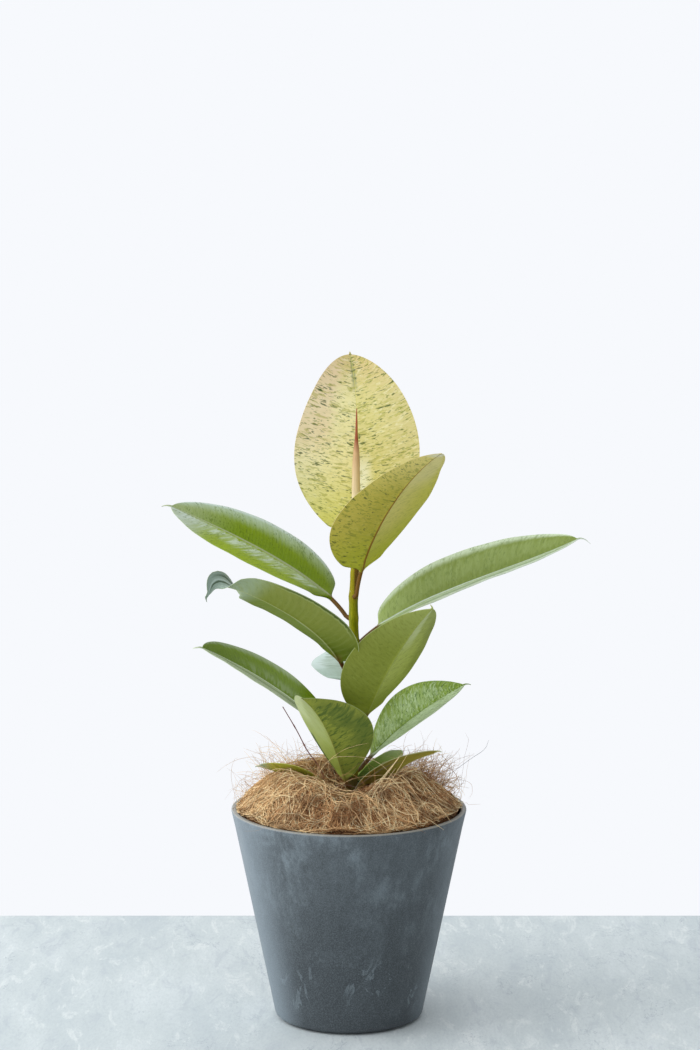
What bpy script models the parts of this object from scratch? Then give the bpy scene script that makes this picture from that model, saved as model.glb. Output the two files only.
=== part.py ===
# Potted ficus: a young rubber plant in a tapered planter, with coir fibre over its soil.
# Units are metres and +Z is up. The origin is the middle of the pot's foot, and -Y is the front.

import math
import random

import bmesh
import bpy
from mathutils import Vector

# Driving dimensions of the pot
POT_RADIUS = 0.095
POT_HEIGHT = 0.173
POT_BASE_RADIUS = 0.0594
WALL = 0.0045
FLOOR = 0.006
LIP_ROUND = 0.0014
EDGE_ROUND = 0.004
FOOT_RADIUS = 0.052
FOOT_HEIGHT = 0.0015
POT_SIDES = 48

# Clearance between pieces that touch
GAP = 0.0003

# Soil and the fibre mound on it
SOIL_TOP = 0.150
SOIL_SIDES = 40
STEM_HOLE_RADIUS = 0.0052
STEM_FOOT = 0.112
MOUND_BOTTOM = SOIL_TOP + GAP
MOUND_SIDES = 40
MOUND_HOLE_RADIUS = 0.0068
MOUND_SHAPE = (  # radius and height of the mound, from its dip at the stem to the pot's wall
    (0.0068, 0.168), (0.014, 0.170), (0.021, 0.1755), (0.029, 0.183), (0.037, 0.190), (0.045, 0.1945),
    (0.053, 0.1955), (0.061, 0.194), (0.069, 0.191), (0.077, 0.187), (0.084, 0.1815), (0.0885, 0.1725),
)
MOUND_BUMP = 0.0018
MOUND_LEAN = 0.035
MOUND_LEAST = 0.006
LEAF_CLEARANCE = 0.003
LEAF_REACH = 0.011

# Loose fibres, bowed out of the mound
FIBRE_COUNT = 76
FIBRE_RADIUS = 0.00065
FIBRE_SEGMENTS = 4
FIBRE_ROOT = 0.005
FIBRE_SEED = 7
FIBRE_ZONE = (0.030, 0.080)
FIBRE_SPAN = (0.020, 0.042)
FIBRE_BOW = (0.004, 0.011)
FIBRE_BEND = 0.010
FREE_SHARE = 0.2
FREE_RISE = 1.8
FIBRE_TO_RIM = 0.005
FIBRE_TO_STEM = 0.018
FIBRE_TO_LEAF = 0.0045

# Dry twig in the mound
TWIG_RADIUS = 0.0008
TWIG_LINE = ((-0.029, -0.011, 0.174), (-0.030, -0.0105, 0.209), (-0.042, -0.010, 0.234), (-0.054, -0.010, 0.256))

# Stem: height, sideways place and radius
STEM_LINE = (
    (0.112, 0.0, 0.0046), (0.150, 0.0, 0.0046), (0.200, 0.003, 0.0044), (0.270, 0.0055, 0.0041),
    (0.320, 0.004, 0.0038), (0.345, 0.0036, 0.0036), (0.372, 0.0052, 0.0034),
)
STEM_LEAST_STEP = 0.002
NODE_BULGE = 0.0004
NODE_REACH = 0.005

# Rolled bud above the stem: height above its foot and radius
BUD_FOOT = STEM_LINE[-1][0] + 0.0005
BUD_LINE = (
    (0.0, 0.0030), (0.010, 0.0034), (0.040, 0.0035), (0.060, 0.0034), (0.073, 0.0032), (0.087, 0.0029),
    (0.102, 0.0020), (0.113, 0.0013), (0.119, 0.0008), (0.1245, 0.0004),
)
BUD_LEAN = 0.0010

# Leaf blades and stalks
BLADE_THICKNESS = 0.0009
STALK_RADIUS = 0.0017
ELBOW_OUT = 0.0028
ELBOW_UP = 0.0015
HALF_POINTS = 3
BLADE_STATIONS = (0.0, 0.012, 0.04, 0.10, 0.19, 0.31, 0.44, 0.57, 0.69, 0.79, 0.88, 0.94, 0.98, 1.0)
TWIST_STATIONS = (0.815, 0.84, 0.86, 0.90, 0.92, 0.96)
DRIP_STATIONS = (0.4, 1.0)
DRIP_WIDTH = 0.0013
DRIP_END_WIDTH = 0.0005
STALK_FADE = 0.10
CURVE_STEPS = 200

# Each leaf: where its stalk leaves the stem, the curve of its midrib up to the blade's end,
# and the shape and tilt of its blade. Angles are degrees. Leaves follow one spiral up the stem.
SPIRAL_START = 94
SPIRAL_STEP = -144
LEAVES = {
    "leaf_top_back": dict(
        turn=0, height=0.364, stalk=0.025, rise=68, swing=-9, reach=0.37,
        tip=(0.001, 0.039, 0.538), tip_azimuth=105, tip_rise=51, width=0.102, widest=0.46,
        fullness=0.66, skew=-0.03, roll=1, twist=21, fold=11, curl=5, drip=(0.0, 0.001, 0.003),
        colour=(0.72, 0.68, 0.33)),
    "leaf_top_front": dict(
        turn=1, height=0.346, stalk=0.020, rise=82, swing=5, foot_turn=-18, reach=0.28,
        tip=(0.073, -0.069, 0.469), tip_azimuth=-41, tip_rise=27, width=0.099, widest=0.42,
        fullness=0.78, skew=0.02, roll=2, twist=-12, fold=9, curl=2, drip=(0.0014, -0.0012, 0.0006),
        colour=(0.48, 0.47, 0.13)),
    "leaf_upper_left": dict(
        turn=2, height=0.328, stalk=0.017, rise=54, swing=-8, reach=0.25,
        tip=(-0.144, 0.049, 0.413), tip_azimuth=169, tip_rise=22, width=0.072, widest=0.39,
        fullness=0.63, skew=-0.02, roll=-19, twist=-19, fold=8, curl=3, drip=(-0.008, 0.001, -0.0006),
        colour=(0.24, 0.36, 0.07)),
    "leaf_upper_right": dict(
        turn=3, height=0.308, stalk=0.016, rise=32, swing=17, reach=0.31,
        tip=(0.188, 0.046, 0.385), tip_azimuth=-8, tip_rise=25, width=0.068, widest=0.52,
        fullness=0.63, skew=-0.01, roll=11, twist=-5, fold=17, curl=4, drip=(0.0126, -0.001, -0.0059),
        colour=(0.22, 0.33, 0.12)),
    "leaf_middle_left": dict(
        turn=4, height=0.268, stalk=0.034, rise=60, swing=19, reach=0.35,
        tip=(-0.110, -0.079, 0.374), tip_azimuth=161, tip_rise=13, width=0.069, widest=0.39,
        fullness=0.76, skew=-0.07, roll=1, twist=28, fold=11, curl=-4, tip_twist=-128,
        twist_at=0.79, drip=(0.004, -0.001, -0.016), colour=(0.20, 0.28, 0.06)),
    "leaf_small_back": dict(
        turn=5, height=0.252, stalk=0.024, rise=59, swing=-2, reach=0.37,
        tip=(0.0025, 0.1247, 0.2897), tip_azimuth=83, tip_rise=23, width=0.0643, widest=0.483,
        fullness=0.65, skew=0.0, roll=-2.5, twist=-18.7, fold=-6.5, curl=-3.3, drip=(0.0005, 0.003, 0.0),
        colour=(0.42, 0.54, 0.45)),
    "leaf_middle_front": dict(
        turn=6, height=0.236, stalk=0.016, rise=55, swing=-11, reach=0.35,
        tip=(0.064, -0.075, 0.350), tip_azimuth=-59, tip_rise=36, width=0.074, widest=0.39,
        fullness=0.71, skew=0.0, roll=-5, twist=-12, fold=11, curl=4, drip=(0.001, -0.0015, 0.001),
        colour=(0.19, 0.26, 0.07)),
    "leaf_lower_left": dict(
        turn=7, height=0.220, stalk=0.014, rise=43, swing=-7, reach=0.38,
        tip=(-0.119, 0.021, 0.300), tip_azimuth=214, tip_rise=21, width=0.055, widest=0.51,
        fullness=0.67, skew=0.0, roll=-7, twist=5, fold=10, curl=2, drip=(-0.0068, -0.003, 0.0008),
        colour=(0.18, 0.29, 0.09)),
    "leaf_lower_right": dict(
        turn=8, height=0.203, stalk=0.010, rise=47, swing=0, reach=0.36,
        tip=(0.094, 0.033, 0.267), tip_azimuth=18, tip_rise=23, width=0.057, widest=0.49,
        fullness=0.78, skew=0.0, roll=14, twist=5, fold=17, curl=5, drip=(0.0045, 0.001, -0.0008),
        colour=(0.26, 0.40, 0.16)),
    "leaf_low_front": dict(
        turn=9, height=0.191, stalk=0.003, rise=63, swing=-1, reach=0.35,
        tip=(-0.037, -0.060, 0.275), tip_azimuth=-131, tip_rise=34, width=0.073, widest=0.57,
        fullness=0.70, skew=-0.02, roll=-1, twist=-4, fold=20, curl=4, drip=(-0.001, -0.001, 0.0008),
        colour=(0.21, 0.30, 0.09)),
    "leaf_base_back": dict(
        turn=10, height=0.187, stalk=0.003, rise=60, swing=3, reach=0.37,
        tip=(0.019, 0.080, 0.210), tip_azimuth=71, tip_rise=-5, width=0.076, widest=0.50,
        fullness=0.69, skew=-0.02, roll=11, twist=-12, fold=8, curl=1, drip=(0.0006, 0.002, -0.0006),
        colour=(0.08, 0.14, 0.03)),
    "leaf_base_right": dict(
        turn=11, height=0.183, stalk=0.011, rise=16, swing=2, reach=0.36,
        tip=(0.077, -0.036, 0.224), tip_azimuth=-29, tip_rise=18, width=0.043, widest=0.50,
        fullness=0.80, skew=0.0, roll=24, twist=-14, fold=26, curl=6, drip=(0.002, -0.001, -0.0006),
        colour=(0.22, 0.22, 0.07)),
    "leaf_base_left": dict(
        turn=12, height=0.179, stalk=0.009, rise=35, swing=-1, reach=0.36,
        tip=(-0.074, 0.011, 0.204), tip_azimuth=163, tip_rise=0, width=0.035, widest=0.49,
        fullness=0.80, skew=0.0, roll=30, twist=8, fold=4, curl=1, drip=(-0.002, 0.0006, -0.0006),
        colour=(0.29, 0.28, 0.06)),
}


def make_material(name, colour, roughness):
    material = bpy.data.materials.new(name)
    material.use_nodes = True
    shader = material.node_tree.nodes["Principled BSDF"]
    shader.inputs["Base Color"].default_value = (*colour, 1.0)
    shader.inputs["Roughness"].default_value = roughness
    shader.inputs["Metallic"].default_value = 0.0
    return material


def add_object(name, mesh, collection, material):
    piece = bpy.data.objects.new(name, mesh)
    collection.objects.link(piece)
    mesh.materials.append(material)
    return piece


def interpolate(table, key, column):
    """Reads a column of a table of rows sorted by their first value, on straight lines."""
    if key <= table[0][0]:
        return table[0][column]
    for low, high in zip(table, table[1:]):
        if key <= high[0]:
            share = (key - low[0]) / (high[0] - low[0])
            return low[column] + share * (high[column] - low[column])
    return table[-1][column]


def smooth_step(value):
    value = min(1.0, max(0.0, value))
    return value * value * (3.0 - 2.0 * value)


def heading(azimuth, rise):
    azimuth, rise = math.radians(azimuth), math.radians(rise)
    return Vector((math.cos(azimuth) * math.cos(rise), math.sin(azimuth) * math.cos(rise), math.sin(rise)))


def turned_piece(name, outline, sides, collection, material, closed=False):
    """Turns an outline of (radius, height) points round the Z axis."""
    mesh = bpy.data.meshes.new(name)
    edges = [(i, i + 1) for i in range(len(outline) - 1)]
    if closed:
        edges.append((len(outline) - 1, 0))
    mesh.from_pydata([(radius, 0.0, height) for radius, height in outline], edges, [])
    piece = add_object(name, mesh, collection, material)
    screw = piece.modifiers.new("Turn", 'SCREW')
    screw.axis = 'Z'
    screw.steps = sides
    screw.render_steps = sides
    screw.use_merge_vertices = True
    screw.merge_threshold = 0.00001
    screw.use_smooth_shade = True
    return piece


def pot_outer_radius(height):
    return POT_BASE_RADIUS + (POT_RADIUS - POT_BASE_RADIUS) * height / POT_HEIGHT


def pot_inner_radius(height):
    return pot_outer_radius(height) - WALL


def arc(centre, radius, start, end, points):
    """Points of an arc in the outline's plane, from one angle to another in degrees."""
    result = []
    for i in range(points):
        angle = math.radians(start + (end - start) * i / (points - 1))
        result.append((centre[0] + radius * math.cos(angle), centre[1] + radius * math.sin(angle)))
    return result


def build_pot(collection):
    lean = math.degrees(math.atan2(POT_RADIUS - POT_BASE_RADIUS, POT_HEIGHT))
    lip_outer = (POT_RADIUS - LIP_ROUND, POT_HEIGHT - LIP_ROUND)
    lip_inner = (POT_RADIUS - WALL + LIP_ROUND, POT_HEIGHT - LIP_ROUND)
    edge_centre = (pot_outer_radius(FOOT_HEIGHT + EDGE_ROUND) - EDGE_ROUND, FOOT_HEIGHT + EDGE_ROUND)
    outline = [(0.0, FLOOR), (pot_inner_radius(FLOOR) - 0.004, FLOOR)]
    outline += [(pot_inner_radius(FLOOR + 0.004), FLOOR + 0.004)]
    outline += arc(lip_inner, LIP_ROUND, 180, 90, 4)
    outline += arc(lip_outer, LIP_ROUND, 90, -lean, 4)
    outline += arc(edge_centre, EDGE_ROUND, -lean, -90, 5)
    outline += [(FOOT_RADIUS, FOOT_HEIGHT), (FOOT_RADIUS, 0.0), (0.0, 0.0)]
    slate = make_material("slate_grey_resin", (0.115, 0.135, 0.15), 0.72)
    return turned_piece("pot", outline, POT_SIDES, collection, slate)


def build_soil(collection):
    bottom = FLOOR + GAP
    outline = [
        (0.0, STEM_FOOT - GAP), (STEM_HOLE_RADIUS, STEM_FOOT - GAP), (STEM_HOLE_RADIUS, SOIL_TOP),
        (pot_inner_radius(SOIL_TOP) - 2 * GAP, SOIL_TOP),
        (pot_inner_radius(bottom + 0.006) - 2 * GAP, bottom + 0.006),
        (pot_inner_radius(bottom) - 0.006, bottom), (0.0, bottom),
    ]
    earth = make_material("potting_soil", (0.035, 0.024, 0.016), 0.95)
    return turned_piece("soil", outline, SOIL_SIDES, collection, earth)


def tube(name, points, radii, sides_setting, collection, material):
    """A closed tube along points, with its own radius at each one."""
    curve = bpy.data.curves.new(name, 'CURVE')
    curve.dimensions = '3D'
    curve.bevel_depth = 1.0
    curve.bevel_resolution = sides_setting
    curve.use_fill_caps = True
    spline = curve.splines.new('POLY')
    spline.points.add(len(points) - 1)
    for target, point, radius in zip(spline.points, points, radii):
        target.co = (*point, 1.0)
        target.radius = radius
    curve.materials.append(material)
    piece = bpy.data.objects.new(name, curve)
    collection.objects.link(piece)
    return piece


def stem_radius(height):
    bulge = max(NODE_BULGE * smooth_step(1.0 - abs(height - leaf["height"]) / NODE_REACH)
                for leaf in LEAVES.values())
    return interpolate(STEM_LINE, height, 2) + bulge


def stem_centre(height):
    return Vector((interpolate(STEM_LINE, height, 1), 0.0, height))


def build_stem(collection):
    heights = [STEM_LINE[0][0], SOIL_TOP]
    for leaf in sorted(LEAVES.values(), key=lambda leaf: leaf["height"]):
        for height in (leaf["height"] - NODE_REACH, leaf["height"], leaf["height"] + NODE_REACH):
            if height - heights[-1] > STEM_LEAST_STEP:
                heights.append(height)
    heights.append(STEM_LINE[-1][0])
    bark = make_material("green_brown_stem", (0.22, 0.20, 0.05), 0.55)
    return tube("stem", [stem_centre(height) for height in heights],
                [stem_radius(height) for height in heights], 3, collection, bark)


def build_bud(collection):
    foot = stem_centre(STEM_LINE[-1][0])
    length = BUD_LINE[-1][0]
    points = [Vector((foot.x + BUD_LEAN * rise / length, 0.0, BUD_FOOT + rise)) for rise, _ in BUD_LINE]
    rose = make_material("rose_tan_sheath", (0.42, 0.20, 0.11), 0.45)
    return tube("bud_sheath", points, [radius for _, radius in BUD_LINE], 3, collection, rose)


def leaf_curve(leaf):
    """The leaf's centre line as points with their distance along it, from the stem to the tip."""
    azimuth = SPIRAL_START + SPIRAL_STEP * leaf["turn"]
    outward = heading(azimuth + leaf.get("foot_turn", 0), 0)
    surface = interpolate(STEM_LINE, leaf["height"], 2)
    start = stem_centre(leaf["height"]) + outward * (surface + ELBOW_OUT) + Vector((0, 0, ELBOW_UP))
    tip = Vector(leaf["tip"])
    hand = leaf["reach"] * (tip - start).length
    lift = start + hand * heading(azimuth + leaf["swing"], leaf["rise"])
    settle = tip - hand * heading(leaf["tip_azimuth"], leaf["tip_rise"])
    points, distances = [], []
    for i in range(CURVE_STEPS + 1):
        t = i / CURVE_STEPS
        u = 1.0 - t
        point = start * u ** 3 + lift * (3 * t * u * u) + settle * (3 * t * t * u) + tip * t ** 3
        distances.append(distances[-1] + (point - points[-1]).length if points else 0.0)
        points.append(point)
    return points, distances


def point_at(points, distances, distance):
    """A point of the centre line, and the line's direction there."""
    distance = min(max(distance, 0.0), distances[-1])
    i = 1
    while i < len(distances) - 1 and distances[i] < distance:
        i += 1
    step = distances[i] - distances[i - 1]
    share = (distance - distances[i - 1]) / step
    before, after = points[max(0, i - 2)], points[min(len(points) - 1, i + 1)]
    return points[i - 1].lerp(points[i], share), (after - before).normalized()


def blade_width(leaf, t):
    """Half of the blade's width at a share of its length."""
    power = math.log(0.5) / math.log(leaf["widest"])
    wave = math.sin(math.pi * min(1.0, max(0.0, t)) ** power)
    return leaf["width"] / 2 * max(0.0, wave) ** leaf["fullness"]


def leaf_frame(leaf, direction, t):
    """The blade's right-hand and upward directions at a share of its length."""
    azimuth = math.radians(SPIRAL_START + SPIRAL_STEP * leaf["turn"])
    level = Vector((math.sin(azimuth), -math.cos(azimuth), 0.0))
    side = (level - direction * level.dot(direction)).normalized()
    up = side.cross(direction)
    turn = leaf["roll"] + leaf["twist"] * (t - 0.5)
    turn += leaf.get("tip_twist", 0) * smooth_step((t - leaf.get("twist_at", 1.0)) / 0.2)
    turn = math.radians(turn)
    return side * math.cos(turn) - up * math.sin(turn), up * math.cos(turn) + side * math.sin(turn)


def blade_section(leaf, t, half_width):
    """Points of the folded and curled section, from the left edge to the right one, with normals."""
    section = {0: (0.0, 0.0, 0.0, 1.0)}
    for sign in (1, -1):
        x = z = 0.0
        step = half_width * (1 + sign * leaf["skew"]) / HALF_POINTS
        for j in range(1, HALF_POINTS + 1):
            angle = math.radians(leaf["fold"] + leaf["curl"] * (j - 0.5) / HALF_POINTS)
            x += step * math.cos(angle)
            z += step * math.sin(angle)
            section[sign * j] = (sign * x, z, -sign * math.sin(angle), math.cos(angle))
    return [section[j] for j in range(-HALF_POINTS, HALF_POINTS + 1)]


def leaf_ring(leaf, point, side, up, t, half_width, morph, thickness):
    """One ring of the leaf: the round stalk, the flat blade, or a blend of the two."""
    top, bottom = [], []
    ridge = STALK_RADIUS * 0.8 * (1.0 - min(1.0, t)) ** 0.7
    for j, (x, z, normal_x, normal_z) in enumerate(blade_section(leaf, t, half_width), -HALF_POINTS):
        angle = math.radians(j * 80 / HALF_POINTS)
        round_x, round_z = STALK_RADIUS * math.sin(angle), STALK_RADIUS * math.cos(angle)
        deep = ridge if j == 0 else 0.0
        flat_top = (x + normal_x * thickness / 2, z + normal_z * thickness / 2)
        flat_bottom = (x - normal_x * thickness / 2, z - normal_z * thickness / 2 - deep)
        for target, flat, height in ((top, flat_top, round_z), (bottom, flat_bottom, -round_z)):
            across = round_x + (flat[0] - round_x) * morph
            rise = height + (flat[1] - height) * morph
            target.append(point + side * across + up * rise)
    return top + bottom[::-1]


def leaf_rings(leaf):
    points, distances = leaf_curve(leaf)
    azimuth = SPIRAL_START + SPIRAL_STEP * leaf["turn"]
    outward, stalk = heading(azimuth + leaf.get("foot_turn", 0), 0), leaf["stalk"]
    blade = distances[-1] - stalk
    rings = []
    foot = stem_centre(leaf["height"]) + outward * (stem_radius(leaf["height"]) + GAP)
    foot += Vector((0, 0, ELBOW_UP / 3))
    side, up = leaf_frame(leaf, outward, 0.0)
    rings.append(leaf_ring(leaf, foot, side, up, 0.0, STALK_RADIUS, 0.0, 0.0))
    for distance in (0.001, stalk * 0.6):
        if distance < stalk - 0.001:
            point, direction = point_at(points, distances, distance)
            side, up = leaf_frame(leaf, direction, 0.0)
            rings.append(leaf_ring(leaf, point, side, up, 0.0, STALK_RADIUS, 0.0, 0.0))
    stations = BLADE_STATIONS + (TWIST_STATIONS if "tip_twist" in leaf else ())
    for t in sorted(stations):
        point, direction = point_at(points, distances, stalk + blade * t)
        side, up = leaf_frame(leaf, direction, t)
        least = STALK_RADIUS + (DRIP_WIDTH - STALK_RADIUS) * t
        half_width = max(blade_width(leaf, t), least)
        morph = smooth_step(t / STALK_FADE)
        rings.append(leaf_ring(leaf, point, side, up, t, half_width, morph, BLADE_THICKNESS))
    drip = Vector(leaf["drip"])
    for share in DRIP_STATIONS:
        end = point + (direction * drip.length).lerp(drip, share) * share
        half_width = DRIP_WIDTH + (DRIP_END_WIDTH - DRIP_WIDTH) * share
        rings.append(leaf_ring(leaf, end, side, up, 1.0, half_width, 1.0, BLADE_THICKNESS))
    return rings


def build_leaf(name, leaf, collection):
    """A loft through rings that change from a round stalk to a thin blade, each one with its own
    section. Both faces of the blade are split along the same diagonals."""
    rings = leaf_rings(leaf)
    count = len(rings[0])
    half = count // 2
    shape = bmesh.new()
    rows = [[shape.verts.new(point) for point in ring] for ring in rings]
    for low, high in zip(rows, rows[1:]):
        for j in range(count):
            k = (j + 1) % count
            corners = (low[j], low[k], high[k], high[j])
            if j < half:
                order = ((0, 1, 2), (0, 2, 3))
            else:
                order = ((0, 1, 3), (1, 2, 3))
            for triangle in order:
                shape.faces.new([corners[index] for index in triangle])
    for row in (rows[0], rows[-1]):
        middle = shape.verts.new(sum((vertex.co for vertex in row), Vector()) / count)
        for j in range(count):
            shape.faces.new((row[j], row[(j + 1) % count], middle))
    bmesh.ops.recalc_face_normals(shape, faces=shape.faces)
    mesh = bpy.data.meshes.new(name)
    shape.to_mesh(mesh)
    shape.free()
    mesh.shade_smooth()
    return add_object(name, mesh, collection, make_material(name + "_green", leaf["colour"], 0.4))


def leaf_samples():
    """Points of the low leaves' stalks and blades, for keeping the fibre mound clear of them."""
    samples = []
    for leaf in LEAVES.values():
        points, distances = leaf_curve(leaf)
        blade = distances[-1] - leaf["stalk"]
        for i in range(41):
            distance = distances[-1] * i / 40
            t = max(0.0, (distance - leaf["stalk"]) / blade)
            point, direction = point_at(points, distances, distance)
            side, up = leaf_frame(leaf, direction, t)
            for x, z, _, _ in blade_section(leaf, t, max(blade_width(leaf, t), STALK_RADIUS)):
                samples.append(point + side * x + up * z)
                samples.append(point + (side * x + up * z) * 0.5)
    return [sample for sample in samples if sample.z < 0.27]


def mound_height(radius):
    return interpolate(MOUND_SHAPE, radius, 1)


def mound_bump(x, y):
    """Uneven heaps of fibre, as a sum of waves."""
    waves = math.sin(95 * x + 40 * y) + math.sin(70 * y - 110 * x + 1.7) + math.sin(150 * y + 2.9)
    return MOUND_BUMP * waves / 2 + MOUND_LEAN * x


def build_mound_core(collection, material, samples):
    """The body of the mound, sunk where a leaf lies low over it."""
    wall_radius = pot_inner_radius(MOUND_BOTTOM) - 2 * GAP
    outline = list(MOUND_SHAPE) + [(wall_radius, MOUND_BOTTOM), (MOUND_HOLE_RADIUS, MOUND_BOTTOM)]
    turned = turned_piece("coir_turned", outline, MOUND_SIDES, collection, material, closed=True)
    evaluated = turned.evaluated_get(bpy.context.evaluated_depsgraph_get())
    mesh = bpy.data.meshes.new_from_object(evaluated)
    bpy.data.objects.remove(turned)
    for vertex in mesh.vertices:
        radius = math.hypot(vertex.co.x, vertex.co.y)
        if vertex.co.z < MOUND_BOTTOM + GAP or radius > MOUND_SHAPE[-1][0] - GAP:
            continue
        fade = smooth_step((radius - MOUND_SHAPE[1][0]) / MOUND_SHAPE[1][0])
        height = vertex.co.z + mound_bump(vertex.co.x, vertex.co.y) * fade
        for sample in samples:
            if math.hypot(sample.x - vertex.co.x, sample.y - vertex.co.y) < LEAF_REACH:
                height = min(height, sample.z - LEAF_CLEARANCE)
        vertex.co.z = max(height, MOUND_BOTTOM + MOUND_LEAST)
    split_faces(mesh)
    return add_object("coir_mulch", mesh, collection, material)


def split_faces(mesh):
    """Splits every face of a mesh into triangles, so that none of them is warped."""
    shape = bmesh.new()
    shape.from_mesh(mesh)
    bmesh.ops.triangulate(shape, faces=shape.faces)
    shape.to_mesh(mesh)
    shape.free()


def rod_mesh(name, points, radius):
    """A thin three-sided rod along points, closed at both ends."""
    shape = bmesh.new()
    rows = []
    for i, point in enumerate(points):
        ahead = points[min(i + 1, len(points) - 1)] - points[max(i - 1, 0)]
        across = ahead.cross(Vector((0.31, 0.17, 0.93))).normalized()
        over = across.cross(ahead).normalized()
        corners = [math.radians(90 + 120 * k) for k in range(3)]
        rows.append([shape.verts.new(point + (across * math.cos(a) + over * math.sin(a)) * radius)
                     for a in corners])
    for low, high in zip(rows, rows[1:]):
        for j in range(3):
            shape.faces.new((low[j], low[(j + 1) % 3], high[(j + 1) % 3], high[j]))
    shape.faces.new(rows[0][::-1])
    shape.faces.new(rows[-1])
    bmesh.ops.recalc_face_normals(shape, faces=shape.faces)
    bmesh.ops.triangulate(shape, faces=shape.faces)
    mesh = bpy.data.meshes.new(name)
    shape.to_mesh(mesh)
    shape.free()
    return mesh


def fibre_points(rng):
    """A bowed fibre with both ends sunk in the mound, or now and then one end standing free."""
    inner, outer = FIBRE_ZONE
    radius = inner + (outer - inner) * math.sqrt(rng.random())
    azimuth = rng.uniform(0, 2 * math.pi)
    course = rng.uniform(0, 2 * math.pi)
    span = rng.uniform(*FIBRE_SPAN)
    free = rng.random() < FREE_SHARE
    bow = rng.uniform(*FIBRE_BOW)
    start = Vector((radius * math.cos(azimuth), radius * math.sin(azimuth), 0.0))
    along = Vector((math.cos(course), math.sin(course), 0.0))
    bend = Vector((-along.y, along.x, 0.0)) * rng.uniform(-FIBRE_BEND, FIBRE_BEND)
    points = []
    for i in range(FIBRE_SEGMENTS + 1):
        t = i / FIBRE_SEGMENTS
        point = start + along * span * t + bend * math.sin(math.pi * t)
        if free:
            lift = -FIBRE_ROOT + (FIBRE_ROOT + FREE_RISE * bow) * math.sin(math.pi / 2 * t)
        else:
            lift = -FIBRE_ROOT + (FIBRE_ROOT + bow) * math.sin(math.pi * t)
        point.z = mound_height(math.hypot(point.x, point.y)) + MOUND_LEAN * point.x + lift
        points.append(point)
    return points


def fits(points, samples):
    """Whether a fibre stays inside the rim and clear of the leaves and the stem."""
    inside = pot_inner_radius(POT_HEIGHT) - FIBRE_TO_RIM
    for i in range(4 * (len(points) - 1) + 1):
        low = min(i // 4, len(points) - 2)
        point = points[low].lerp(points[low + 1], i / 4 - low)
        reach = math.hypot(point.x, point.y)
        if reach > inside or reach < FIBRE_TO_STEM:
            return False
        if any((sample - point).length < FIBRE_TO_LEAF for sample in samples):
            return False
    return True


def build_mulch(collection):
    """The fibre mound: its body, bowed fibres that root in it and one dry twig, as one solid."""
    coir = make_material("coir_fibre", (0.36, 0.22, 0.11), 0.9)
    samples = leaf_samples()
    mound = build_mound_core(collection, coir, samples)
    loose = bpy.data.collections.new("Loose fibres")
    bpy.context.scene.collection.children.link(loose)
    rng = random.Random(FIBRE_SEED)
    placed = 0
    while placed < FIBRE_COUNT:
        points = fibre_points(rng)
        if fits(points, samples):
            name = "fibre_%03d" % placed
            loose.objects.link(bpy.data.objects.new(name, rod_mesh(name, points, FIBRE_RADIUS)))
            placed += 1
    twig = [Vector(point) for point in TWIG_LINE]
    loose.objects.link(bpy.data.objects.new("twig", rod_mesh("twig", twig, TWIG_RADIUS)))
    union = mound.modifiers.new("Fibres", 'BOOLEAN')
    union.operation = 'UNION'
    union.operand_type = 'COLLECTION'
    union.collection = loose
    union.solver = 'MANIFOLD'
    evaluated = mound.evaluated_get(bpy.context.evaluated_depsgraph_get())
    joined = bpy.data.meshes.new_from_object(evaluated)
    mound.modifiers.clear()
    mound.data = joined
    joined.name = "coir_mulch"
    for piece in list(loose.objects):
        bpy.data.objects.remove(piece)
    bpy.data.collections.remove(loose)
    return mound


def build_plant():
    for existing in list(bpy.data.objects):
        bpy.data.objects.remove(existing)
    collection = bpy.data.collections.new("Potted ficus")
    bpy.context.scene.collection.children.link(collection)
    build_pot(collection)
    build_soil(collection)
    build_stem(collection)
    build_bud(collection)
    for name, leaf in LEAVES.items():
        build_leaf(name, leaf, collection)
    build_mulch(collection)


build_plant()
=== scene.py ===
# Potted ficus: the finish of every surface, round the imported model.
import math

import bmesh
import bpy
import numpy as np
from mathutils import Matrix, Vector
from mathutils.bvhtree import BVHTree


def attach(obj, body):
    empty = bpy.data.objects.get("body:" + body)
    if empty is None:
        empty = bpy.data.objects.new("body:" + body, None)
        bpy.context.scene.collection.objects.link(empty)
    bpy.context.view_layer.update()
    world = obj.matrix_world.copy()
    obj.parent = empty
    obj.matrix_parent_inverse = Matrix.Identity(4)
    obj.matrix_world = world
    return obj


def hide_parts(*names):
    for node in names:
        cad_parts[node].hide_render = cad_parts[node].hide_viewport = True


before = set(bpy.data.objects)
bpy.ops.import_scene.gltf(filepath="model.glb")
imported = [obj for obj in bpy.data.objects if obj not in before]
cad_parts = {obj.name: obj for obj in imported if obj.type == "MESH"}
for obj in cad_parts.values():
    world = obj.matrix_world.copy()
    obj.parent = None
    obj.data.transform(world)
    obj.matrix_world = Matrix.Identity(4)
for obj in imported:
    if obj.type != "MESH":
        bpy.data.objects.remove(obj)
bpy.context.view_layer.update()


# Paint helpers. Colours are given as they look on a screen, from 0 to 255.

def tint(colour):
    # a linear colour for the nodes, or the socket that was handed in
    if isinstance(colour, bpy.types.NodeSocket):
        return colour
    return (*[((value / 255 + 0.055) / 1.055) ** 2.4 for value in colour], 1.0)


def addNode(tree, kind, inputs, **settings):
    made = tree.nodes.new(kind)
    for name, value in settings.items():
        setattr(made, name, value)
    for key, value in inputs.items():
        if isinstance(value, bpy.types.NodeSocket):
            tree.links.new(value, made.inputs[key])
        else:
            made.inputs[key].default_value = value
    return made


def newPaint(name, roughness, specular=0.5):
    paint = bpy.data.materials.new(name)
    paint.use_nodes = True
    shader = paint.node_tree.nodes["Principled BSDF"]
    shader.inputs["Roughness"].default_value = roughness
    shader.inputs["Specular IOR Level"].default_value = specular
    return paint, paint.node_tree, shader


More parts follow.
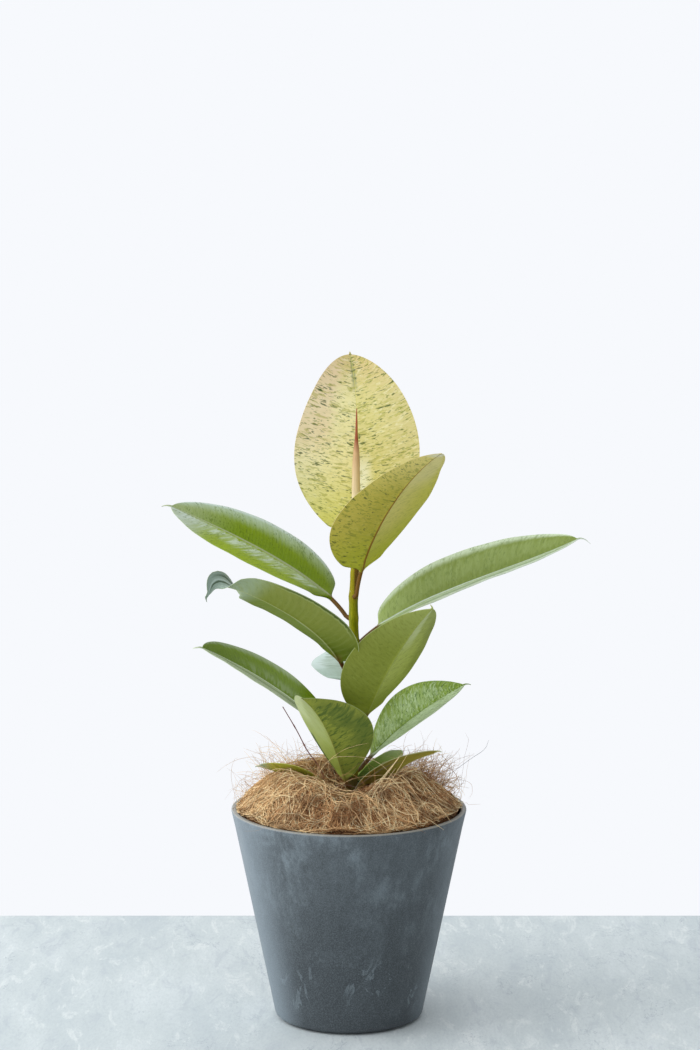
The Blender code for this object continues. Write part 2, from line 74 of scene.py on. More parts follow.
def readAttribute(tree, name, output="Vector"):
    return addNode(tree, "ShaderNodeAttribute", {}, attribute_name=name).outputs[output]


def stretchTo(tree, place, stretch, offset=(0, 0, 0)):
    inputs = {"Vector": place, "Scale": stretch, "Location": offset}
    return addNode(tree, "ShaderNodeMapping", inputs).outputs["Vector"]


def objectPlace(tree, stretch=(1, 1, 1)):
    return stretchTo(tree, addNode(tree, "ShaderNodeTexCoord", {}).outputs["Object"], stretch)


def splitVector(tree, vector):
    return addNode(tree, "ShaderNodeSeparateXYZ", {"Vector": vector}).outputs


def noise(tree, place, scale, detail=2.0, roughness=0.5, distortion=0.0):
    inputs = {"Vector": place, "Scale": scale, "Detail": detail, "Roughness": roughness,
              "Distortion": distortion}
    return addNode(tree, "ShaderNodeTexNoise", inputs).outputs["Fac"]


def between(tree, value, low, high, least=0.0, most=1.0):
    # rises smoothly from least to most as value goes from low to high
    inputs = {"Value": value, "From Min": low, "From Max": high, "To Min": least, "To Max": most}
    return addNode(tree, "ShaderNodeMapRange", inputs, interpolation_type="SMOOTHSTEP").outputs["Result"]


def compute(tree, operation, first, second=0.0):
    return addNode(tree, "ShaderNodeMath", {0: first, 1: second}, operation=operation).outputs[0]


def times(tree, first, second):
    return compute(tree, "MULTIPLY", first, second)


def plus(tree, first, second):
    return compute(tree, "ADD", first, second)


def apartFrom(tree, place, point):
    return addNode(tree, "ShaderNodeVectorMath", {0: place, 1: point}, operation="DISTANCE").outputs["Value"]


def mixPaint(tree, share, first, second):
    inputs = {0: share, 6: tint(first), 7: tint(second)}
    return addNode(tree, "ShaderNodeMix", inputs, data_type="RGBA").outputs[2]


def rampPaint(tree, value, stops):
    made = addNode(tree, "ShaderNodeValToRGB", {"Fac": value})
    bar = made.color_ramp.elements
    while len(bar) < len(stops):
        bar.new(0.5)
    for stop, (place, colour) in zip(bar, stops):
        stop.position = place
        stop.color = tint(colour)
    return made.outputs["Color"]


def finishPaint(tree, shader, colour, height, strength, distance):
    bump = addNode(tree, "ShaderNodeBump", {"Height": height, "Strength": strength, "Distance": distance})
    tree.links.new(bump.outputs["Normal"], shader.inputs["Normal"])
    tree.links.new(colour, shader.inputs["Base Color"])


# Shape helpers

def smoothStep(value):
    value = min(1.0, max(0.0, value))
    return value * value * (3 - 2 * value)


def heading(azimuth, rise):
    azimuth, rise = math.radians(azimuth), math.radians(rise)
    return Vector((math.cos(azimuth) * math.cos(rise), math.sin(azimuth) * math.cos(rise), math.sin(rise)))


def readLine(line, key, column):
    return float(np.interp(key, [row[0] for row in line], [row[column] for row in line]))


def splineCourse(points, count):
    # a smooth course through the points
    points = np.array(points)
    points = np.array([2 * points[0] - points[1], *points, 2 * points[-1] - points[-2]])
    course = []
    for share in np.linspace(0, len(points) - 3 - 1e-9, count):
        i, t = int(share), share % 1
        a, b, c, d = points[i:i + 4]
        course.append(0.5 * (2 * b + (c - a) * t + (2 * a - 5 * b + 4 * c - d) * t ** 2
                             + (3 * b - a - 3 * c + d) * t ** 3))
    return np.array(course)


def selectOnly(piece):
    bpy.ops.object.select_all(action="DESELECT")
    piece.select_set(True)
    bpy.context.view_layer.objects.active = piece


def endEdit():
    bpy.ops.mesh.select_all(action="SELECT")
    bpy.ops.mesh.normals_make_consistent(inside=False)
    bpy.ops.object.mode_set(mode="OBJECT")


def turnOutward(piece):
    selectOnly(piece)
    bpy.ops.object.mode_set(mode="EDIT")
    endEdit()


def selectEdges(piece, wanted):
    bpy.context.tool_settings.mesh_select_mode = (False, True, False)
    bpy.ops.mesh.select_all(action="DESELECT")
    shape = bmesh.from_edit_mesh(piece.data)
    for edge in shape.edges:
        edge.select = wanted(edge)
    bmesh.update_edit_mesh(piece.data)


def smoothPiece(piece, angle):
    selectOnly(piece)
    bpy.ops.object.shade_smooth_by_angle(angle=math.radians(angle))


def dressPiece(piece, slotName, nodeName, *paints):
    for paint in paints:
        piece.data.materials.append(paint)
    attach(piece, "root")
    if nodeName:
        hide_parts(nodeName)
    return piece


def addBlank(name, sides, rings):
    # a closed cylinder with its upright edges cut into rings, ready to be shaped
    bpy.ops.object.select_all(action="DESELECT")
    bpy.ops.mesh.primitive_cylinder_add(vertices=sides, radius=1, depth=1, end_fill_type="NGON")
    blank = bpy.context.active_object
    blank.name = blank.data.name = name
    bpy.ops.object.mode_set(mode="EDIT")
    selectEdges(blank, lambda edge: abs(edge.verts[0].co.z - edge.verts[1].co.z) > 0.5)
    bpy.ops.mesh.subdivide(number_cuts=rings - 2)
    bpy.ops.object.mode_set(mode="OBJECT")
    return blank


def vertexPlaces(piece):
    flat = np.zeros(len(piece.data.vertices) * 3)
    piece.data.vertices.foreach_get("co", flat)
    return flat.reshape(-1, 3)


def blankPlaces(blank, sides, rings):
    # the ring along the blank and the column round it of each vertex
    points = vertexPlaces(blank)
    turn = np.arctan2(points[:, 1], points[:, 0]) / (2 * math.pi) * sides
    columns = np.rint(turn - turn[0]).astype(int) % sides
    return np.rint((points[:, 2] + 0.5) * (rings - 1)).astype(int), columns


def shapeBlank(blank, places, angle):
    # places holds a row of points for each ring
    places = np.array(places)
    spots = blankPlaces(blank, places.shape[1], len(places))
    blank.data.vertices.foreach_set("co", places[spots].astype(np.float32).ravel())
    turnOutward(blank)
    smoothPiece(blank, angle)
    return spots


def copyBlank(blank, name):
    piece = bpy.data.objects.new(name, blank.data.copy())
    piece.data.name = name
    bpy.context.scene.collection.objects.link(piece)
    return piece


def setAttribute(mesh, name, kind, values):
    made = mesh.attributes.new(name, kind, "POINT")
    key = "vector" if kind == "FLOAT_VECTOR" else "value"
    made.data.foreach_set(key, np.asarray(values, np.float32).ravel())


def growRings(name, outline, sides, filled=True):
    # a circle grown ring by ring into a turned shape, by extruding and scaling its edge
    fill = "NGON" if filled else "NOTHING"
    bpy.ops.object.select_all(action="DESELECT")
    bpy.ops.mesh.primitive_circle_add(vertices=sides, radius=outline[0][0], fill_type=fill)
    piece = bpy.context.active_object
    piece.name = piece.data.name = name
    bpy.ops.object.mode_set(mode="EDIT")
    bpy.ops.mesh.select_all(action="SELECT")
    bpy.ops.transform.translate(value=(0, 0, outline[0][1]))
    for (lastRadius, lastHeight), (radius, height) in zip(outline, outline[1:]):
        bpy.ops.mesh.extrude_region_move(TRANSFORM_OT_translate={"value": (0, 0, height - lastHeight)})
        share = radius / lastRadius
        bpy.ops.transform.resize(value=(share, share, 1), center_override=(0, 0, height))
    if not filled:
        selectEdges(piece, lambda edge: edge.is_boundary)
        bpy.ops.mesh.bridge_edge_loops()
    endEdit()
    return piece


# Stage, light and camera

stageLook = dict(
    wallPaint=(247, 249, 253), fillStrength=1.0, fillLean=(-0.80, 0.05, 0.22),
    backEdge=0.291, frontEdge=-1.6, halfWidth=1.5, thickness=0.03,
    keyPlace=(-1.7, -0.35, 1.3), keyTarget=(0, 0, 0.25), keySize=1.3, keyPower=15.0)
cameraLook = dict(place=(0.0009, -2.416, 0.768), tilt=81.42, lens=105, sensor=36)


def tablePaint():
    # pale cement: fine mottling, small lighter scuffs and faint hairline cracks
    paint, tree, shader = newPaint("paleCement", 0.75, 0.3)
    place = objectPlace(tree, (1, 0.3, 1))
    clouds = noise(tree, place, 14.0, 9, 0.70, 0.25)
    colour = rampPaint(tree, clouds, ((0.34, (184, 193, 195)), (0.5, (194, 202, 202)),
                                      (0.66, (204, 211, 211))))
    scuffs = noise(tree, stretchTo(tree, place, (1, 1, 1), (3, 1, 0)), 60.0, 7, 0.72, 0.8)
    colour = mixPaint(tree, between(tree, scuffs, 0.54, 0.64, 0.0, 0.62), colour, (216, 221, 219))
    colour = mixPaint(tree, between(tree, scuffs, 0.46, 0.36, 0.0, 0.50), colour, (176, 184, 189))
    grain = noise(tree, place, 500.0, 3, 0.7)
    colour = mixPaint(tree, between(tree, grain, 0.38, 0.70, 0.0, 0.24), colour, (160, 168, 173))
    for scale, offset, width in ((11.0, (0, 0, 0), 0.0035), (21.0, (4, 2, 0), 0.0045)):
        bent = noise(tree, stretchTo(tree, place, (1, 2, 1), offset), scale, 7, 0.62, 0.6)
        crack = compute(tree, "ABSOLUTE", compute(tree, "SUBTRACT", bent, 0.5))
        near = between(tree, noise(tree, stretchTo(tree, place, (1, 1, 1), offset), 7.0, 3, 0.6), 0.50, 0.60)
        line = times(tree, between(tree, crack, width, 0.0), near)
        colour = mixPaint(tree, times(tree, line, 0.60), colour, (136, 147, 158))
    finishPaint(tree, shader, colour, plus(tree, grain, scuffs), 0.12, 0.0004)
    return paint


def buildStage(look):
    scene = bpy.context.scene
    scene.view_settings.view_transform = "Standard"
    bpy.ops.object.select_all(action="DESELECT")
    depth = look["backEdge"] - look["frontEdge"]
    bpy.ops.mesh.primitive_cube_add(size=1)
    table = bpy.context.active_object
    table.name = "tableTop"
    table.scale = (2 * look["halfWidth"], depth, look["thickness"])
    table.location = (0, look["backEdge"] - depth / 2, -look["thickness"] / 2)
    bpy.ops.object.transform_apply(location=True, rotation=True, scale=True)
    edge = table.modifiers.new("roundEdge", "BEVEL")
    edge.width = 0.002
    edge.segments = 3
    bpy.ops.object.modifier_apply(modifier=edge.name)
    table.data.materials.append(tablePaint())

    world = bpy.data.worlds.new("softRoom")
    scene.world = world
    world.use_nodes = True
    tree = world.node_tree
    tree.nodes.clear()
    around = addNode(tree, "ShaderNodeTexCoord", {}).outputs["Generated"]
    lean = addNode(tree, "ShaderNodeVectorMath", {0: around, 1: look["fillLean"]}, operation="DOT_PRODUCT")
    fill = compute(tree, "MAXIMUM", plus(tree, lean.outputs["Value"], look["fillStrength"]), 0.05)
    lit = addNode(tree, "ShaderNodeBackground", {"Color": tint((247, 250, 255)), "Strength": fill})
    seen = addNode(tree, "ShaderNodeBackground", {"Color": tint(look["wallPaint"]), "Strength": 1.0})
    ray = addNode(tree, "ShaderNodeLightPath", {}).outputs["Is Camera Ray"]
    both = addNode(tree, "ShaderNodeMixShader", {0: ray, 1: lit.outputs[0], 2: seen.outputs[0]})
    addNode(tree, "ShaderNodeOutputWorld", {"Surface": both.outputs[0]})

    bpy.ops.object.light_add(type="AREA", location=look["keyPlace"])
    key = bpy.context.active_object
    key.name = "softWindow"
    key.data.shape = "SQUARE"
    key.data.size = look["keySize"]
    key.data.energy = look["keyPower"]
    away = Vector(look["keyPlace"]) - Vector(look["keyTarget"])
    key.rotation_euler = away.to_track_quat("Z", "Y").to_euler()


def buildCamera(look):
    bpy.ops.object.camera_add(location=look["place"], rotation=(math.radians(look["tilt"]), 0, 0))
    camera = bpy.context.active_object
    camera.data.lens = look["lens"]
    camera.data.sensor_width = look["sensor"]
    camera.data.clip_start = 0.05
    camera.data.clip_end = 50
    bpy.context.scene.camera = camera


buildStage(stageLook)
buildCamera(cameraLook)
print("stage, light and camera are set")


# Planter: cast slate-grey resin with stone powder in it

planter = dict(
    radius=0.095, height=0.173, baseRadius=0.0594, wall=0.0045, floor=0.006, lipRound=0.0014,
    edgeRound=0.004, footRadius=0.052, footHeight=0.0015, footEdge=0.0006, underEdge=0.002, corner=0.004,
    insideRings=(0.16, 0.12, 0.08, 0.04), sides=160, wallRings=16, pale=(112, 123, 129), mid=(80, 88, 93),
    dark=(66, 73, 77), low=(48, 54, 58), flame=(122, 134, 140), lip=(158, 152, 138), paintedFlankLight=(126, 138, 146),
    roughness=0.55)


def arcPoints(centre, radius, start, end, count):
    angles = [math.radians(start + (end - start) * i / (count - 1)) for i in range(count)]
    return [(centre[0] + radius * math.cos(a), centre[1] + radius * math.sin(a)) for a in angles]


planterFlare = (planter["radius"] - planter["baseRadius"]) / planter["height"]


def planterRadius(height):
    return planter["baseRadius"] + planterFlare * height


def planterInside(height):
    return planterRadius(height) - planter["wall"]


def planterOutline():
    lean = math.degrees(math.atan(planterFlare))
    lip, corner, foot = planter["lipRound"], planter["edgeRound"], planter["footHeight"]
    edgeCentre = (planterRadius(foot + corner) - corner, foot + corner)
    lipHeight = planter["height"] - lip
    footRadius, footEdge = planter["footRadius"], planter["footEdge"]
    outline = [(footRadius - footEdge, 0.0), (footRadius, footEdge), (footRadius, foot)]
    outline.append((edgeCentre[0] - planter["underEdge"], foot))
    outline += arcPoints(edgeCentre, corner, -90, -lean, 9)
    low, high = outline[-1][1], lipHeight - planter["corner"]
    for i in range(1, planter["wallRings"]):
        height = low + (high - low) * i / planter["wallRings"]
        outline.append((planterRadius(height), height))
    outline += arcPoints((planter["radius"] - lip, lipHeight), lip, -lean, 90, 8)
    outline += arcPoints((planter["radius"] - planter["wall"] + lip, lipHeight), lip, 90, 180, 8)
    for height in (*planter["insideRings"], planter["floor"] + planter["corner"]):
        outline.append((planterInside(height), height))
    outline.append((planterInside(planter["floor"]) - planter["corner"], planter["floor"]))
    return outline


def planterPaint():
    paint, tree, shader = newPaint("castSlateResin", planter["roughness"], 0.55)
    height = splitVector(tree, objectPlace(tree))["Z"]
    # clouds, smudges and upright streaks from the casting; painted shade darkens the wall towards the foot
    clouds = noise(tree, objectPlace(tree, (1, 1, 0.8)), 26.0, 6, 0.65, 0.8)
    smudges = noise(tree, objectPlace(tree, (1, 1, 0.5)), 120.0, 5, 0.7, 0.6)
    streaks = noise(tree, objectPlace(tree, (1, 1, 0.12)), 230.0, 4, 0.65, 0.5)
    both = plus(tree, times(tree, clouds, 0.5), times(tree, smudges, 0.34))
    both = plus(tree, both, times(tree, streaks, 0.16))
    colour = rampPaint(tree, both, ((0.39, planter["dark"]), (0.5, planter["mid"]), (0.61, planter["pale"])))
    colour = mixPaint(tree, between(tree, height, 0.16, 0.055, 0.0, 0.85), colour, planter["low"])
    # painted light: both flanks are painted paler, the left one, towards the lamp, the most
    across = splitVector(tree, objectPlace(tree))["X"]
    wide = plus(tree, times(tree, height, planterFlare), planter["baseRadius"])
    across = compute(tree, "DIVIDE", across, wide)
    colour = mixPaint(tree, between(tree, across, -0.55, -1.0, 0.0, 0.90), colour, planter["paintedFlankLight"])
    colour = mixPaint(tree, between(tree, across, 0.72, 1.0, 0.0, 0.50), colour, planter["paintedFlankLight"])
    # small crisp flames and thin slanting wisps low on the wall
    band = times(tree, between(tree, height, 0.010, 0.024), between(tree, height, 0.078, 0.050))
    flame = noise(tree, objectPlace(tree, (1, 1, 0.5)), 64.0, 4, 0.6, 1.5)
    crest = times(tree, between(tree, flame, 0.560, 0.585), between(tree, flame, 0.70, 0.58))
    patch = between(tree, noise(tree, objectPlace(tree), 19.0, 2), 0.47, 0.58)
    share = times(tree, times(tree, crest, band), patch)
    colour = mixPaint(tree, times(tree, share, 0.55), colour, planter["flame"])
    wisp = noise(tree, stretchTo(tree, objectPlace(tree), (1, 1, 0.45)), 36.0, 6, 0.6, 1.0)
    thread = compute(tree, "ABSOLUTE", compute(tree, "SUBTRACT", wisp, 0.5))
    thread = times(tree, between(tree, thread, 0.008, 0.0), between(tree, clouds, 0.48, 0.60))
    colour = mixPaint(tree, times(tree, thread, 0.22), colour, planter["flame"])
    # painted highlight: a pale ring along the rounded top of the lip
    colour = mixPaint(tree, between(tree, height, 0.1718, 0.1728, 0.0, 0.70), colour, planter["lip"])
    grain = noise(tree, objectPlace(tree), 1100.0, 3, 0.7)
    colour = mixPaint(tree, between(tree, grain, 0.4, 0.7, 0.0, 0.24), colour, (140, 150, 156))
    colour = mixPaint(tree, between(tree, grain, 0.6, 0.3, 0.0, 0.24), colour, planter["low"])
    tree.links.new(between(tree, both, 0.3, 0.7, 0.62, 0.48), shader.inputs["Roughness"])
    relief = plus(tree, times(tree, grain, 0.35), times(tree, streaks, 0.5))
    finishPaint(tree, shader, colour, relief, 0.15, 0.0004)
    return paint


planterPiece = growRings("planterShell", planterOutline(), planter["sides"])
smoothPiece(planterPiece, 50)
dressPiece(planterPiece, "slate_grey_resin", "pot", planterPaint())
print("planter is made")


# Soil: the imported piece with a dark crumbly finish

def soilPaint():
    paint, tree, shader = newPaint("darkSoil", 0.95, 0.2)
    crumbs = noise(tree, objectPlace(tree), 260.0, 5, 0.7)
    colour = rampPaint(tree, crumbs, ((0.35, (34, 26, 20)), (0.6, (66, 50, 37)), (0.75, (96, 76, 56))))
    finishPaint(tree, shader, colour, crumbs, 0.8, 0.002)
    return paint


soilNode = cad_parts["soil"]
soilNode.data.materials.clear()
soilNode.data.materials.append(soilPaint())
print("soil is painted")


# Leaves. Each one has its place on the stem, the curve of its midrib and its blade's shape in leafPlaces,
# and the paints of its two sides in leafLooks. Lengths are metres and angles are degrees. In the paints
# the widths and lengths of ribs, margins, veins and flecks are millimetres.

stemLine = (  # height, sideways place and radius
    (0.112, 0.0, 0.0046), (0.150, 0.0, 0.0046), (0.200, 0.003, 0.0044), (0.270, 0.0055, 0.0041),
    (0.320, 0.004, 0.0038), (0.345, 0.0036, 0.0036), (0.372, 0.0052, 0.0034))
spiral = dict(start=94, step=-144)
blade = dict(
    stalkRings=8, bladeRings=84, dripRings=6, stalkRadius=0.0017, elbowOut=0.0028, elbowUp=0.0015,
    footSink=0.0008, footBend=0.0022, footFlare=0.45, thickness=0.0006, edgeThickness=0.0003,
    ribHeight=0.00125, ribHalf=0.0011, dripWidth=0.0012, dripEnd=0.0003, baseFade=0.07, morphReach=0.1,
    crowding=0.11, rippleStart=0.2, rippleEnd=0.15, swell=0.00035, lobes=0.0001, veinHook=12)

leafPlaces = dict(
    topBackLeaf=dict(
        node="leaf_top_back", slot="variegated_cream_leaf", turn=0, height=0.364, stalk=0.025, rise=68,
        swing=-9, reach=0.37, tip=(0.001, 0.039, 0.5362), tipAzimuth=105, tipRise=51, width=0.102,
        widest=0.46, fullness=0.66, skew=-0.03, roll=1, twist=21, fold=7, curl=5, tipFullness=0.6,
        veinSlope=0.22, drip=(-0.0002, 0.0004, 0.0022)),
    topFrontLeaf=dict(
        node="leaf_top_front", slot="variegated_olive_leaf", turn=1, height=0.346, stalk=0.02, rise=82,
        swing=5, footTurn=-18, reach=0.28, tip=(0.0708, -0.073, 0.47), tipAzimuth=-39.3, tipRise=29.7,
        width=0.1004, widest=0.4, fullness=0.848, skew=0.005, roll=2.6, twist=-10.8, fold=6.3, curl=2.5,
        tipFullness=0.649, veinSlope=0.25, rightFold=-2.3, leftFold=0.373, drip=(0.0008, -0.0006, 0.0003)),
    upperLeftLeaf=dict(
        node="leaf_upper_left", slot="yellow_green_leaf", turn=2, height=0.328, stalk=0.017, rise=54,
        swing=-8, reach=0.25, tip=(-0.1443, 0.049, 0.4113), tipAzimuth=172.1, tipRise=22.5, width=0.0742,
        widest=0.4, fullness=0.612, skew=-0.013, roll=-18.3, twist=-18.4, fold=8.8, curl=-0.033,
        tipFullness=0.598, rightFold=-1.369, leftFold=0.804, drip=(-0.008, 0.001, 0.0)),
    upperRightLeaf=dict(
        node="leaf_upper_right", slot="grey_green_leaf", turn=3, height=0.308, stalk=0.016, rise=32,
        swing=17, reach=0.31, tip=(0.186, 0.046, 0.3847), tipAzimuth=-9.9, tipRise=27.4, width=0.0698,
        widest=0.5, fullness=0.627, skew=-0.043, roll=7.4, twist=-2.0, fold=17.8, curl=-0.96,
        rightFold=0.79, tipFullness=0.634, leftFold=5.0, drip=(0.0105, -0.001, -0.0035)),
    middleLeftLeaf=dict(
        node="leaf_middle_left", slot="olive_green_leaf", turn=4, height=0.268, stalk=0.034, rise=60,
        swing=19, reach=0.35, tip=(-0.11, -0.079, 0.374), tipAzimuth=157, tipRise=13, width=0.069,
        widest=0.39, fullness=0.76, skew=-0.07, roll=1, twist=28, fold=11, curl=-4, tipTwist=-73,
        twistAt=0.773, twistReach=0.188, tipSkew=0.88, tipFullness=0.974, tailCut=70,
        tail=((-0.1004, -0.0819, 0.3682), (-0.1074, -0.0869, 0.3626), (-0.1092, -0.0866, 0.3604)),
        drip=(-0.0002, 0.0, -0.004)),
    smallBackLeaf=dict(
        node="leaf_small_back", slot="pale_sheen_leaf", turn=5, height=0.252, stalk=0.024, rise=59,
        swing=-2, reach=0.37, tip=(0.0013, 0.1183, 0.2866), tipAzimuth=82.1, tipRise=15.5, width=0.0617,
        widest=0.427, fullness=0.426, skew=-0.008, roll=-1.311, twist=-14.3, fold=-6.7, curl=-2.3,
        rightFold=-0.929, leftFold=3.7, tipFullness=0.577, drip=(0.0005, 0.003, 0.0)),
    middleFrontLeaf=dict(
        node="leaf_middle_front", slot="olive_green_leaf", turn=6, height=0.236, stalk=0.016, rise=55,
        swing=-11, reach=0.35, tip=(0.0646, -0.074, 0.3487), tipAzimuth=-58.3, tipRise=34.4, width=0.075,
        widest=0.404, fullness=0.814, skew=0.019, roll=-5.4, twist=-11.1, fold=8.5, curl=5.3, rightFold=6.4,
        leftFold=3.6, tipFullness=0.783, drip=(-0.0012, -0.001, 0.0034)),
    lowerLeftLeaf=dict(
        node="leaf_lower_left", slot="grey_green_leaf", turn=7, height=0.22, stalk=0.014, rise=43, swing=-7,
        reach=0.38, tip=(-0.1186, 0.021, 0.2995), tipAzimuth=219.5, tipRise=25.3, width=0.0567,
        widest=0.523, fullness=0.7, skew=0.01, roll=-0.602, twist=3.1, fold=18.4, curl=1.94, leftFold=-10.2,
        rightFold=-2.4, tipFullness=0.625, drip=(-0.0075, -0.002, 0.0002)),
    lowerRightLeaf=dict(
        node="leaf_lower_right", slot="bright_green_leaf", turn=8, height=0.203, stalk=0.01, rise=47,
        swing=0, reach=0.36, tip=(0.0942, 0.033, 0.2667), tipAzimuth=22.1, tipRise=23.4, width=0.0602,
        widest=0.546, fullness=0.814, skew=0.038, roll=9.1, twist=4.9, fold=18.3, curl=3.3,
        rightFold=-0.699, leftFold=3.5, tipFullness=0.844, drip=(0.0052, 0.001, 0.0)),
    lowFrontLeaf=dict(
        node="leaf_low_front", slot="olive_green_leaf", turn=9, height=0.191, stalk=0.003, rise=63,
        swing=-1, reach=0.35, tip=(-0.0364, -0.0594, 0.2747), tipAzimuth=-131.7, tipRise=35.0, width=0.0734,
        widest=0.57, fullness=0.678, skew=-0.007, roll=0.326, twist=-7.9, fold=19.2, curl=3.1,
        rightFold=1.679, leftFold=1.199, tipFullness=0.764, drip=(-0.001, -0.001, 0.0008)),
    baseBackLeaf=dict(
        node="leaf_base_back", slot="dark_green_leaf", turn=10, height=0.187, stalk=0.003, rise=51.7,
        swing=-32.9, reach=0.291, tip=(0.0376, 0.054, 0.2072), tipAzimuth=73.0, tipRise=-20.0, width=0.0448,
        widest=0.44, fullness=0.467, skew=-0.001, roll=-23.1, twist=15.2, fold=-15.8, curl=7.6,
        rightFold=-4.1, leftFold=-29.8, tipFullness=0.676, drip=(0.0006, 0.002, -0.0006)),
    baseRightLeaf=dict(
        node="leaf_base_right", slot="brownish_green_leaf", turn=11, height=0.183, stalk=0.011, rise=38.2,
        swing=-32.1, reach=0.45, tip=(0.0715, -0.0383, 0.2279), tipAzimuth=-38.5, tipRise=5.3, width=0.0351,
        widest=0.285, fullness=1.093, skew=0.09, roll=20.0, twist=-34.7, fold=-4.1, curl=-3.9,
        rightFold=16.9, leftFold=-43.8, tipFullness=0.787, drip=(0.002, -0.001, -0.0006)),
    baseLeftLeaf=dict(
        node="leaf_base_left", slot="brownish_green_leaf", turn=12, height=0.179, stalk=0.009, rise=35,
        swing=-1, reach=0.36, tip=(-0.074, 0.011, 0.204), tipAzimuth=163, tipRise=0, width=0.035,
        widest=0.49, fullness=0.8, skew=0.0, roll=30, twist=8, fold=4, curl=1,
        drip=(-0.002, 0.0006, -0.0006)))

# What the paints of both sides share, unless a side says otherwise. Left and right are as seen from
# above, from the stalk to the tip. A fleck layer is its paint, share, length, width and scarcity. A soft
# patch is its paint, share, window across, window along, raggedness and share of stripes. Most soft
# patches, and the pale bluish-white halves and tips, are painted sheen: the reflection of the bright
# room on the glossy skin.
commonLook = dict(
    tip=None, tipFrom=0.75, tipTo=1.0, base=None, baseTo=0.25, vein=0.16, veinGap=2.6, veinFrom=0.72,
    mottle=0.16, shade=(70, 90, 26), shades=0.22, flecks=(), fleckSides=(1.0, 1.0), sheensAndPatches=(), ribWidth=0.9,
    ribShare=0.8, margin=(186, 196, 140), marginWidth=0.5, marginShare=0.45, stalk=(112, 82, 44),
    stalkReach=7.0, roughness=0.45, gloss=0.15, relief=0.22)

